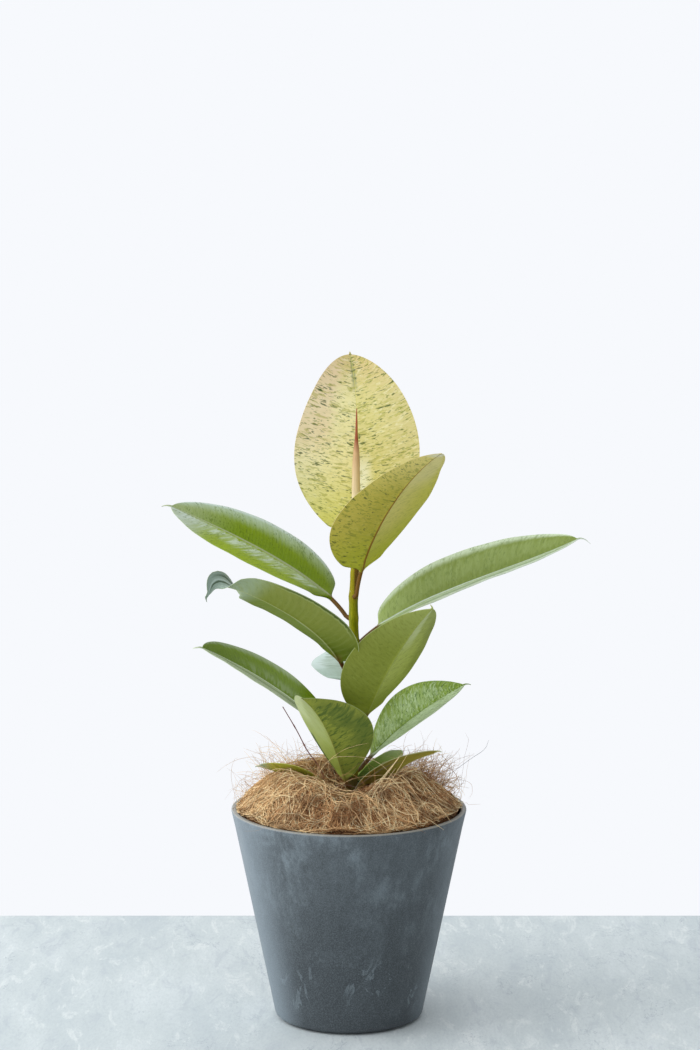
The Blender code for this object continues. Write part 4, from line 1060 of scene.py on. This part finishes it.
def ringWays(sides):
    # the directions of the points round one level ring, with their angles
    angles = [2 * math.pi * column / sides for column in range(sides)]
    return [(angle, Vector((math.cos(angle), math.sin(angle), 0))) for angle in angles]


def stemWide(height):
    swell = max(smoothStep(1 - abs(height - leaf["height"]) / stemLook["bulgeReach"])
                for leaf in leafPlaces.values())
    # a thin scar runs round the stem over each swelling
    scar = max(math.exp(-((height - leaf["height"] - stemLook["ringRise"]) / stemLook["ringWidth"]) ** 2)
               for leaf in leafPlaces.values())
    return readLine(stemLine, height, 2) + stemLook["bulge"] * swell + stemLook["ringDepth"] * scar


def stemPaint():
    paint, tree, shader = newPaint("stemSkin", stemLook["roughness"], 0.15)
    place = splitVector(tree, objectPlace(tree))
    streak = noise(tree, objectPlace(tree, (1, 1, 0.12)), 700.0, 3, 0.6)
    colour = mixPaint(tree, between(tree, streak, 0.35, 0.7), stemLook["green"], stemLook["light"])
    high = between(tree, place["Z"], 0.335, 0.350)
    colour = mixPaint(tree, times(tree, high, 0.6), colour, (164, 146, 30))
    side = between(tree, place["X"], 0.0036, 0.0052)
    brownShare = times(tree, side, between(tree, place["Z"], 0.343, 0.350, 0.10, 0.90))
    colour = mixPaint(tree, brownShare, colour, stemLook["brown"])
    away = apartFrom(tree, objectPlace(tree, (1, 1, 0.7)), stemLook["scar"])
    nick = noise(tree, objectPlace(tree), 2600.0, 2, 0.5)
    nick = between(tree, plus(tree, away, times(tree, nick, 0.0012)), 0.0019, 0.0014)
    colour = mixPaint(tree, nick, colour, (236, 238, 214))
    bark = noise(tree, objectPlace(tree), 160.0, 4, 0.65)
    old = times(tree, between(tree, bark, 0.45, 0.62), between(tree, place["Z"], 0.25, 0.19))
    colour = mixPaint(tree, times(tree, old, 0.7), colour, stemLook["brown"])
    # the stem's foot among the fibres: old brown bark, darkened further by painted shade
    colour = mixPaint(tree, between(tree, place["Z"], 0.206, 0.194, 0.0, 0.9), colour, stemLook["foot"])
    spots = noise(tree, objectPlace(tree), 900.0, 2, 0.5)
    colour = mixPaint(tree, between(tree, spots, 0.68, 0.74, 0.0, 0.5), colour, (196, 186, 130))
    finishPaint(tree, shader, colour, plus(tree, streak, bark), 0.3, 0.0004)
    return paint


def buildStem():
    sides, rings = stemLook["sides"], stemLook["rings"]
    low, high = stemLine[0][0], stemLine[-1][0]
    places = []
    for level in range(rings):
        height = low + (high - low) * level / (rings - 1)
        centre, wide = stemCentre(height), stemWide(height)
        ring = []
        for angle, way in ringWays(sides):
            rough = 1.0
            for turns, climb, deep in stemLook["waves"]:
                rough += deep * math.sin(turns * angle + climb * height)
            ring.append(centre + way * wide * rough)
        places.append(ring)
    stem = addBlank("stemBark", sides, rings)
    shapeBlank(stem, places, 60)
    return dressPiece(stem, "green_brown_stem", "stem", stemPaint())


def budPaint():
    paint, tree, shader = newPaint("roseSheath", budLook["roughness"], 0.2)
    place = splitVector(tree, objectPlace(tree))
    foot, top = budLook["foot"], budLook["foot"] + budLook["line"][-1][0]
    rise = between(tree, place["Z"], foot, top)
    colour = rampPaint(tree, rise, budLook["stops"])
    streak = noise(tree, objectPlace(tree, (1, 1, 0.06)), 900.0, 3, 0.6)
    colour = mixPaint(tree, between(tree, streak, 0.4, 0.75, 0.0, 0.35), colour, (150, 96, 66))
    seam = readAttribute(tree, "seamShare", "Fac")
    colour = mixPaint(tree, times(tree, seam, 0.6), colour, (140, 80, 56))
    finishPaint(tree, shader, colour, streak, 0.2, 0.0003)
    return paint


def buildBud():
    # a sheath rolled to a point, with the edge of its roll running up it as a shallow step
    sides, rings = budLook["sides"], budLook["rings"]
    foot, length = stemCentre(stemLine[-1][0]), budLook["line"][-1][0]
    places, seams = [], []
    for level in range(rings):
        rise = length * level / (rings - 1)
        centre = Vector((foot.x + budLook["lean"] * rise / length, 0, budLook["foot"] + rise))
        wide = readLine(budLook["line"], rise, 1)
        edgeTurn = math.radians(budLook["edgeStart"] + budLook["edgeClimb"] * rise / length)
        step = budLook["rollStep"] * (wide / budLook["rollWide"])
        ring, seamRow = [], []
        for angle, way in ringWays(sides):
            past = (angle - edgeTurn) % (2 * math.pi)
            ring.append(centre + way * (wide - step * math.exp(-past / 0.5)))
            seamRow.append(math.exp(-(min(past, 2 * math.pi - past) / 0.22) ** 2))
        places.append(ring)
        seams.append(seamRow)
    bud = addBlank("budSheath", sides, rings)
    spots = shapeBlank(bud, places, 60)
    setAttribute(bud.data, "seamShare", "FLOAT", np.array(seams)[spots])
    return dressPiece(bud, "rose_tan_sheath", "bud_sheath", budPaint())


buildStem()
buildBud()
print("stem and bud are made")


# Mound of coir: a dark core, thousands of fine fibres, straws, loose curly ends and one dry twig

mound = dict(
    shape=(
        (0.0068, 0.1775), (0.014, 0.1785), (0.021, 0.1805), (0.029, 0.184), (0.037, 0.189), (0.045, 0.1925),
        (0.053, 0.193), (0.061, 0.1905), (0.069, 0.187), (0.077, 0.183), (0.084, 0.178), (0.0885, 0.1726)),
    crown=(
        (0.0068, 0.1778), (0.014, 0.1792), (0.021, 0.1815), (0.029, 0.186), (0.037, 0.1915),
        (0.045, 0.1945), (0.053, 0.1945), (0.061, 0.192), (0.073, 0.186), (0.08, 0.1816), (0.085, 0.1777),
        (0.0888, 0.1743), (0.0935, 0.1736)),
    lumps=(
        (-0.052, -0.04, 0.004, 0.02), (0.056, -0.026, 0.0042, 0.02), (0.012, -0.062, 0.0026, 0.013),
        (0.002, -0.043, -0.0056, 0.013), (-0.026, -0.068, -0.0022, 0.01), (0.036, -0.06, -0.003, 0.01),
        (-0.074, 0.0, -0.0026, 0.014), (0.072, 0.01, -0.0018, 0.012), (-0.03, 0.05, 0.003, 0.018),
        (0.034, 0.046, 0.003, 0.018), (0.07, 0.034, -0.008, 0.019), (0.085, -0.016, -0.0018, 0.013),
        (0.05, 0.034, -0.003, 0.013), (-0.034, -0.066, -0.003, 0.009), (0.052, -0.048, -0.0035, 0.009),
        (-0.006, -0.07, 0.0022, 0.008)),
    frontDrop=0.001, bottom=0.1503, bump=0.0022, lean=0.014, leafClearance=0.003, leafReach=0.009,
    sides=120, coreDrop=0.0022)
coir = dict(
    seed=11, swirl=0.42,
    # the lower layers take darker tones: painted shade deep in the mat
    layers=(
        dict(
            name="coirFibresLow", count=2500, crown=0.0, lift=(-0.0034, 0.0002), bow=(0.0, 0.0012),
            wall=0.0893, length=(0.028, 0.085), curl=26.0, clump=0.0, thickness=(0.00016, 0.00028),
            tone=(0.22, 0.12), segments=8),
        dict(
            name="coirFibresMiddle", count=2600, crown=0.45, lift=(-0.002, 0.0012), bow=(0.0, 0.0045),
            wall=0.0904, length=(0.032, 0.095), curl=38.0, clump=0.5, thickness=(0.00015, 0.00027),
            tone=(0.34, 0.2), segments=8),
        dict(
            name="coirFibresTop", count=2000, crown=1.0, lift=(-0.0008, 0.002), bow=(0.001, 0.0085),
            wall=0.0918, length=(0.04, 0.11), curl=48.0, clump=0.9, thickness=(0.00017, 0.00032),
            tone=(0.6, 0.28), segments=12),
        dict(
            name="coirStraws", count=330, crown=1.0, lift=(0.0002, 0.0026), bow=(0.001, 0.009), wall=0.0926,
            length=(0.05, 0.13), curl=26.0, clump=0.5, thickness=(0.00022, 0.00034), tone=(0.9, 0.07),
            segments=20)),
    loose=(
        dict(
            name="coirCurls", count=620, length=(0.012, 0.034), rise=(5, 50), curl=75.0, sag=18.0,
            top=0.204, reach=0.0955, thickness=(0.0001, 0.00018), tone=(0.56, 0.2)),
        dict(
            name="coirTuftRight", count=460, around=(0.059, 0.018, 0.0115), length=(0.022, 0.052),
            rise=(25, 85), curl=85.0, sag=7.0, top=0.219, reach=0.098, thickness=(0.0001, 0.00018),
            tone=(0.58, 0.2)),
        dict(
            name="coirTuftLeft", count=300, around=(-0.046, 0.018, 0.014), length=(0.02, 0.046),
            rise=(20, 85), curl=75.0, sag=8.0, top=0.222, reach=0.1, thickness=(0.00008, 0.00016),
            tone=(0.56, 0.2)),
        dict(
            name="coirTuftBack", count=130, around=(-0.026, 0.008, 0.0085), length=(0.018, 0.04),
            rise=(30, 88), curl=80.0, sag=8.0, top=0.222, reach=0.098, thickness=(0.00008, 0.00016),
            tone=(0.6, 0.2)),
        dict(
            name="coirHairs", count=180, length=(0.035, 0.08), rise=(15, 75), curl=30.0, sag=13.0,
            top=0.229, reach=0.112, thickness=(0.00007, 0.00012), tone=(0.3, 0.16))),
    looseSegments=20, front=-0.1005, innerRing=0.01, looseRing=(0.028, 0.09), sink=0.002, wander=0.07,
    wallShake=0.0012, shake=0.0004, lipRadius=(0.0898, 0.0965), lipHeight=0.1735, stemAcross=0.001,
    stemGap=0.0085, endGap=0.003, shadow=(96, 98, 108), dark=(122, 78, 44), middle=(202, 151, 101),
    pale=(243, 209, 156), straw=(246, 232, 188), moss=(150, 148, 100), mossPlace=(0.004, -0.046, 0.18))

# Single ends seen clearly in the picture. Each has its radius in millimetres, its tone and its points,
# which lie across and down the 700 by 1050 picture and at a depth in millimetres.
looseEnds = (
    (0.16, 0.0, (440, 786, -8), (448.6, 775.5, -10), (469, 760, -12), (484, 749.6, -14), (489, 740, -15)),
    (0.22, 0.9, (398, 806, -60), (424, 817, -64.5), (444, 830, -66.5)),
    (0.18, 0.8, (428, 802, -48), (441, 809, -53.5), (451, 822, -58.5)),
    (0.15, 0.9, (308, 797, -52), (326.7, 762, -56), (350, 756.5, -58), (375, 761, -56), (392, 776, -54),
     (404, 800, -56)),
    (0.13, 0.8, (300, 800, -52), (322, 768, -58), (340, 752, -60), (355, 746, -60), (369, 743, -58)),
    (0.17, 0.95, (276, 772, -36), (292, 775, -44), (310, 781, -52), (326, 793, -58), (338, 808, -62)),
    (0.18, 0.05, (322, 794, -54), (332, 788, -56), (345, 785, -57), (357, 788, -57), (374, 798, -56)),
    (0.16, 0.04, (345, 798, -56), (357, 787, -56), (370, 777, -54), (386, 767, -50), (402, 761, -48)),
    (0.2, 0.9, (358, 812, -62), (367, 797, -60), (379, 783, -56), (391, 768, -53), (403, 753, -50)),
    (0.18, 0.85, (364, 814, -64), (376, 800, -62), (390, 782, -57), (401, 765, -50), (409, 752, -46)),
    (0.17, 0.95, (340, 815, -64), (356, 800, -61), (374, 789, -57), (392, 784, -54), (412, 782, -50)),
    (0.15, 0.8, (368, 806, -63), (384, 790, -60), (401, 776, -56), (420, 768, -51), (438, 770, -46)),
    (0.16, 0.85, (354, 806, -60), (340, 792, -58), (322, 783, -55), (304, 779, -49), (288, 782, -43)),
    (0.15, 0.9, (346, 812, -63), (334, 801, -60), (316, 794, -56), (298, 796, -50)),
    (0.16, 0.75, (362, 810, -63), (378, 804, -62), (398, 800, -59), (420, 803, -55), (436, 810, -52)),
    (0.22, 0.95, (363, 800, -62), (372, 789, -60), (382, 778, -57), (392, 766, -53), (399, 757, -50)),
    (0.18, 0.9, (369, 802, -63), (377, 789, -60), (385, 777, -57), (393, 766, -53), (401, 754, -50)),
    (0.17, 0.85, (373, 802, -63), (382, 789, -60), (390, 776, -56), (396, 768, -53)),
    (0.16, 0.3, (372, 797, -62), (374.5, 786, -60), (375, 776, -58), (374, 767, -56)),
    (0.16, 0.75, (330, 793, -58), (344, 783, -60), (356, 778, -61), (370, 776, -60), (386, 775, -57)),
    (0.2, 0.9, (262, 776, -30), (276, 769, -34), (292, 771, -40), (305, 776, -46), (318, 785, -52)),
    (0.18, 0.85, (286, 782, -44), (300, 776, -46), (314, 778, -50), (328, 790, -56), (334, 806, -62)),
    (0.16, 0.08, (318, 800, -60), (332, 792, -60), (348, 790, -61), (362, 794, -61), (376, 804, -62)),
    (0.16, 0.06, (328, 806, -62), (340, 796, -61), (354, 791, -61), (368, 790, -60), (384, 794, -58)),
    (0.18, 0.92, (324, 790, -58), (340, 795, -61), (358, 797, -62), (376, 793, -61), (394, 786, -58)))
twigLook = dict(
    radius=0.00042, sides=8, rings=40,
    points=(
        (324, 778, -0.0105), (318, 765, -0.0105), (307, 750, -0.0105), (296.5, 730, -0.0105),
        (282.7, 706.7, -0.0105)))


def moundBump(x, y):
    waves = np.sin(95 * x + 40 * y) + np.sin(70 * y - 110 * x + 1.7) + np.sin(150 * y + 2.9)
    found = mound["bump"] * waves / 2 + mound["lean"] * x
    for centreX, centreY, high, wide in mound["lumps"]:
        found = found + high * np.exp(-((x - centreX) ** 2 + (y - centreY) ** 2) / (2 * wide ** 2))
    return found


def surfaceHeight(line, x, y):
    radius = np.hypot(x, y)
    line = np.array(line)
    fade = np.clip((radius - line[1][0]) / line[1][0], 0, 1)
    return np.interp(radius, line[:, 0], line[:, 1]) + moundBump(x, y) * fade * fade * (3 - 2 * fade)


def moundHeight(x, y):
    return surfaceHeight(mound["shape"], x, y)


def crownHeight(x, y):
    # the top of the loose fibres, which lies lower along the front of the rim
    front = np.clip(-np.asarray(y) / 0.09, 0, 1) * np.clip((np.hypot(x, y) - 0.06) / 0.03, 0, 1)
    return surfaceHeight(mound["crown"], x, y) - mound["frontDrop"] * front


def picturePoint(u, v, y):
    # the place at depth y that the camera sees at u, v of the 700 by 1050 picture
    tilt = math.radians(cameraLook["tilt"])
    focal = cameraLook["lens"] / cameraLook["sensor"] * 1050
    right, rise = (u - 350) / focal, (525 - v) / focal
    ray = np.array((right, math.sin(tilt) + rise * math.cos(tilt), rise * math.sin(tilt) - math.cos(tilt)))
    start = np.array(cameraLook["place"])
    return start + ray * (y - start[1]) / ray[1]


def lowLeafPoints():
    points = [vertexPlaces(piece) for piece in leafPieces]
    return np.concatenate([found[found[:, 2] < 0.24][::5] for found in points])


def corePaint():
    paint, tree, shader = newPaint("coirShade", 0.95, 0.1)
    strands = noise(tree, objectPlace(tree), 240.0, 5, 0.75, 2.0)
    colour = rampPaint(tree, strands, ((0.35, (66, 44, 28)), (0.55, (104, 72, 46)), (0.7, (150, 108, 72))))
    finishPaint(tree, shader, colour, strands, 0.9, 0.0015)
    return paint


def buildCore(leafPoints):
    wall = planterInside(mound["bottom"]) - 0.0006
    line = mound["shape"]
    outline = [(wall, mound["bottom"])]
    for low, high in zip(line[:0:-1], line[-2::-1]):
        outline += [low, ((low[0] + high[0]) / 2, (low[1] + high[1]) / 2)]
    outline += [line[0], (line[0][0], mound["bottom"])]
    core = growRings("coirCore", outline, mound["sides"], filled=False)
    for vertex in core.data.vertices:
        x, y, z = vertex.co
        radius = math.hypot(x, y)
        if z < mound["bottom"] + 0.001 or radius > line[-1][0] - 0.0003:
            continue
        near = leafPoints[np.hypot(leafPoints[:, 0] - x, leafPoints[:, 1] - y) < mound["leafReach"]]
        height = float(moundHeight(x, y)) - mound["coreDrop"]
        if len(near):
            height = min(height, near[:, 2].min() - mound["leafClearance"])
        vertex.co.z = max(height, mound["bottom"] + 0.006)
    smoothPiece(core, 70)
    return dressPiece(core, "coir_fibre", "coir_mulch", corePaint())


def coirPaint(name):
    # each fibre has its own tone, from a grey shadow tone over husk brown to pale straw
    paint, tree, shader = newPaint(name, 0.7, 0.25)
    tone = readAttribute(tree, "fibreTone", "Fac")
    colour = rampPaint(tree, tone, ((0.0, coir["shadow"]), (0.10, coir["dark"]), (0.48, coir["middle"]),
                                    (0.85, coir["pale"]), (1.0, coir["straw"])))
    # painted shade: large dark patches stand for shaded hollows in the mat
    patches = noise(tree, objectPlace(tree), 46.0, 3, 0.6)
    colour = mixPaint(tree, between(tree, patches, 0.48, 0.62, 0.0, 0.62), colour, coir["dark"])
    # painted light: fibres on the left of the mound, towards the lamp, are paler
    across = splitVector(tree, objectPlace(tree))["X"]
    colour = mixPaint(tree, between(tree, across, -0.015, -0.080, 0.0, 0.32), colour, coir["pale"])
    away = apartFrom(tree, objectPlace(tree), coir["mossPlace"])
    colour = mixPaint(tree, between(tree, away, 0.026, 0.010, 0.0, 0.60), colour, coir["moss"])
    grain = noise(tree, objectPlace(tree), 1500.0, 2, 0.6)
    finishPaint(tree, shader, colour, grain, 0.3, 0.0002)
    return paint


def unitRows(rows):
    return rows / (np.linalg.norm(rows, axis=-1, keepdims=True) + 1e-12)


def strandMesh(name, blank, courses, radii, tones):
    # one blank strand copied along each course of points, all in one mesh
    sides, rings = 3, courses.shape[1]
    levels, columns = blankPlaces(blank, sides, rings)
    ahead = unitRows(np.gradient(courses, axis=1))
    across = unitRows(np.cross(ahead, np.array((0.31, 0.17, 0.93))))
    over = np.cross(across, ahead)
    taper = 1 - 0.65 * np.abs(np.linspace(-1, 1, rings)) ** 4
    angles = 2 * math.pi * columns / sides
    wide = radii[:, None, None] * taper[levels][None, :, None]
    points = courses[:, levels] + wide * (across[:, levels] * np.cos(angles)[None, :, None]
                                          + over[:, levels] * np.sin(angles)[None, :, None])
    count = len(blank.data.vertices)
    faces = [list(face.vertices) for face in blank.data.polygons]
    allFaces = [[i + count * k for i in face] for k in range(len(courses)) for face in faces]
    mesh = bpy.data.meshes.new(name)
    mesh.from_pydata(points.reshape(-1, 3).tolist(), [], allFaces)
    mesh.update()
    setAttribute(mesh, "fibreTone", "FLOAT", np.repeat(tones, count))
    piece = bpy.data.objects.new(name, mesh)
    bpy.context.scene.collection.objects.link(piece)
    turnOutward(piece)
    mesh.shade_smooth()
    return piece


def scatter(draw, least, most, count):
    # places spread evenly over a ring of the mound
    radius = np.sqrt(draw.uniform(least ** 2, most ** 2, count))
    azimuth = draw.uniform(0, 2 * math.pi, count)
    return radius * np.cos(azimuth), radius * np.sin(azimuth)


def layCourses(draw, layer):
    # curly courses that follow the mound, with a local drift so that they lie in loose swirls
    segments, count = layer["segments"], layer["count"]
    x, y = scatter(draw, coir["innerRing"], layer["wall"], 2 * count)
    # clumps with thin places between them
    crowd = 0.5 + 0.5 * np.sin(120 * x + 70 * y + 0.7) * np.sin(115 * y - 80 * x + 1.9)
    order = np.argsort(draw.random(2 * count) - layer["clump"] * crowd)[:count]
    x, y = x[order], y[order]
    length = draw.uniform(*layer["length"], count) * draw.uniform(0.55, 1.0, count)
    drift = 2.4 * np.sin(41 * x + 1.3) + 2.1 * np.cos(36 * y - 0.6) + 1.2 * np.sin(25 * (x + y))
    free = draw.random(count) > coir["swirl"]
    way = np.where(free, draw.uniform(0, 2 * math.pi, count), drift + draw.normal(0, 0.4, count))
    curl = draw.normal(0, layer["curl"], count)
    points = np.zeros((count, segments + 1, 2))
    points[:, 0] = np.stack([x, y], 1)
    for i in range(segments):
        step = length / segments
        points[:, i + 1, 0] = points[:, i, 0] + np.cos(way) * step
        points[:, i + 1, 1] = points[:, i, 1] + np.sin(way) * step
        way = way + curl * step + draw.normal(0, 0.5 / math.sqrt(segments), count)
    reach = np.hypot(points[..., 0], points[..., 1])
    wall = layer["wall"] - draw.uniform(0, coir["wallShake"], count)[:, None]
    points *= np.where(reach > wall, np.maximum(2 * wall - reach, 0.03) / reach, 1.0)[..., None]
    x, y = points[..., 0], points[..., 1]
    height = moundHeight(x, y) + layer["crown"] * (crownHeight(x, y) - moundHeight(x, y))
    share = np.linspace(0, 1, segments + 1)
    lifts = draw.uniform(*layer["lift"], count)[:, None]
    bows = draw.uniform(*layer["bow"], count)[:, None] * np.sin(math.pi * share)[None, :]
    bows = bows * np.clip((0.105 - np.hypot(x, y)) / 0.05, 0.25, 1)
    shake = draw.normal(0, coir["shake"], (count, segments + 1))
    height = height + lifts + bows + shake
    height = np.where(np.hypot(x, y) > coir["lipRadius"][0], np.maximum(height, coir["lipHeight"]), height)
    return np.concatenate([points, height[..., None]], axis=2)


def looseCourses(draw, layer):
    # curly ends that rise out of the mound and bend over
    segments, count = coir["looseSegments"], layer["count"]
    x, y = scatter(draw, *coir["looseRing"], count)
    if "around" in layer:
        centreX, centreY, spread = layer["around"]
        x, y = draw.normal(centreX, spread, count), draw.normal(centreY, spread, count)
    azimuth = np.arctan2(y, x)
    rise = np.radians(draw.uniform(*layer["rise"], count))
    way = azimuth + draw.normal(0, 1.1, count)
    ahead = np.stack([np.cos(way) * np.cos(rise), np.sin(way) * np.cos(rise), np.sin(rise)], 1)
    axis = draw.normal(0, 1, (count, 3))
    axis /= np.linalg.norm(axis, axis=1, keepdims=True)
    curl = draw.normal(0, layer["curl"], count)[:, None]
    step = (draw.uniform(*layer["length"], count) / segments)[:, None]
    points = [np.stack([x, y, crownHeight(x, y) - coir["sink"]], 1)]
    for _ in range(segments):
        points.append(points[-1] + ahead * step)
        ahead = ahead + np.cross(axis, ahead) * curl * step + draw.normal(0, coir["wander"], (count, 3))
        ahead[:, 2] -= layer["sag"] * step[:, 0]
        ahead /= np.linalg.norm(ahead, axis=1, keepdims=True)
    points = np.stack(points, 1)
    x, y = points[..., 0], points[..., 1]
    reach = np.hypot(x, y)
    rest = np.where(reach < mound["crown"][-1][0], crownHeight(x, y), coir["lipHeight"]) - coir["sink"]
    onLip = (reach > coir["lipRadius"][0]) & (reach < coir["lipRadius"][1])
    rest = np.where(onLip, np.maximum(rest, coir["lipHeight"]), rest)
    points[..., 2] = np.maximum(points[..., 2], rest)
    kept = (points[..., 2].max(axis=1) < layer["top"]) & (reach.max(axis=1) < layer["reach"])
    return points[kept & (y.min(axis=1) > coir["front"])]


def strandClear(tree, course, stemGap):
    if np.hypot(course[:, 0] - coir["stemAcross"], course[:, 1]).min() < stemGap:
        return False
    for start, end in zip(course, course[1:]):
        way = Vector(end - start)
        if tree.ray_cast(Vector(start), way, way.length)[0] is not None:
            return False
    return True


def leafTree():
    points, faces = [], []
    for piece in leafPieces:
        low = len(points)
        points += [vertex.co.copy() for vertex in piece.data.vertices]
        faces += [[low + i for i in face.vertices] for face in piece.data.polygons]
    return BVHTree.FromPolygons(points, faces)


def buildStrands(draw, layer, courses, blank, tree):
    kept = np.array([strandClear(tree, course, coir["stemGap"]) for course in courses])
    courses = courses[kept]
    radii = draw.uniform(*layer["thickness"], len(courses))
    tones = np.clip(draw.normal(*layer["tone"], len(courses)), 0.1, 1)
    piece = strandMesh(layer["name"], blank, courses, radii, tones)
    dressPiece(piece, "coir_fibre", None, coirPaint(layer["name"] + "Paint"))
    print(layer["name"], len(courses), "fibres")


def buildCoir(blanks, tree):
    draw = np.random.default_rng(coir["seed"])
    for layer in coir["layers"]:
        buildStrands(draw, layer, layCourses(draw, layer), blanks[layer["segments"]], tree)
    for layer in coir["loose"]:
        buildStrands(draw, layer, looseCourses(draw, layer), blanks[coir["looseSegments"]], tree)


def buildLooseEnds(blank, tree):
    rings = coir["looseSegments"] + 1
    courses = []
    for _, _, *points in looseEnds:
        spots = [picturePoint(across, down, depth / 1000) for across, down, depth in points]
        courses.append(splineCourse(spots, rings))
    courses = np.array(courses)
    for number, course in enumerate(courses):
        if not strandClear(tree, course, coir["endGap"]):
            print("loose end", number, "meets a leaf")
    radii = np.array([end[0] / 1000 for end in looseEnds])
    tones = np.array([end[1] for end in looseEnds])
    piece = strandMesh("coirLooseEnds", blank, courses, radii, tones)
    dressPiece(piece, "coir_fibre", None, coirPaint("coirLooseEndsPaint"))


def twigPaint():
    paint, tree, shader = newPaint("dryTwig", 0.65, 0.3)
    rise = splitVector(tree, objectPlace(tree))["Z"]
    colour = rampPaint(tree, between(tree, rise, 0.19, 0.25),
                       ((0.0, (150, 108, 76)), (0.5, (116, 60, 48)), (1.0, (104, 44, 44))))
    spots = noise(tree, objectPlace(tree), 800.0, 3, 0.6)
    colour = mixPaint(tree, between(tree, spots, 0.5, 0.7, 0.0, 0.5), colour, (78, 40, 34))
    finishPaint(tree, shader, colour, spots, 0.4, 0.0003)
    return paint


def buildTwig(look):
    sides, rings = look["sides"], look["rings"]
    course = splineCourse([picturePoint(*point) for point in look["points"]], rings)
    ahead = np.gradient(course, axis=0)
    places = []
    for level, (here, way) in enumerate(zip(course, ahead)):
        way = Vector(way).normalized()
        side = way.cross(Vector((0, 1, 0))).normalized()
        knot = 1 + 0.45 * math.exp(-((level % 9 - 4) / 0.9) ** 2)
        wide = look["radius"] * knot * (1.25 - 0.45 * level / rings)
        turns = [2 * math.pi * column / sides for column in range(sides)]
        here, over = Vector(here), way.cross(side)
        places.append([here + (side * math.cos(turn) + over * math.sin(turn)) * wide for turn in turns])
    twig = addBlank("coirTwig", sides, rings)
    shapeBlank(twig, places, 60)
    return dressPiece(twig, "coir_fibre", None, twigPaint())


strandBlanks = {count: addBlank("strand", 3, count + 1) for count in (8, 12, 20)}
leafObstacles = leafTree()
buildCore(lowLeafPoints())
buildCoir(strandBlanks, leafObstacles)
buildLooseEnds(strandBlanks[coir["looseSegments"]], leafObstacles)
buildTwig(twigLook)
for blank in strandBlanks.values():
    bpy.data.objects.remove(blank)
print("mound of coir is made")
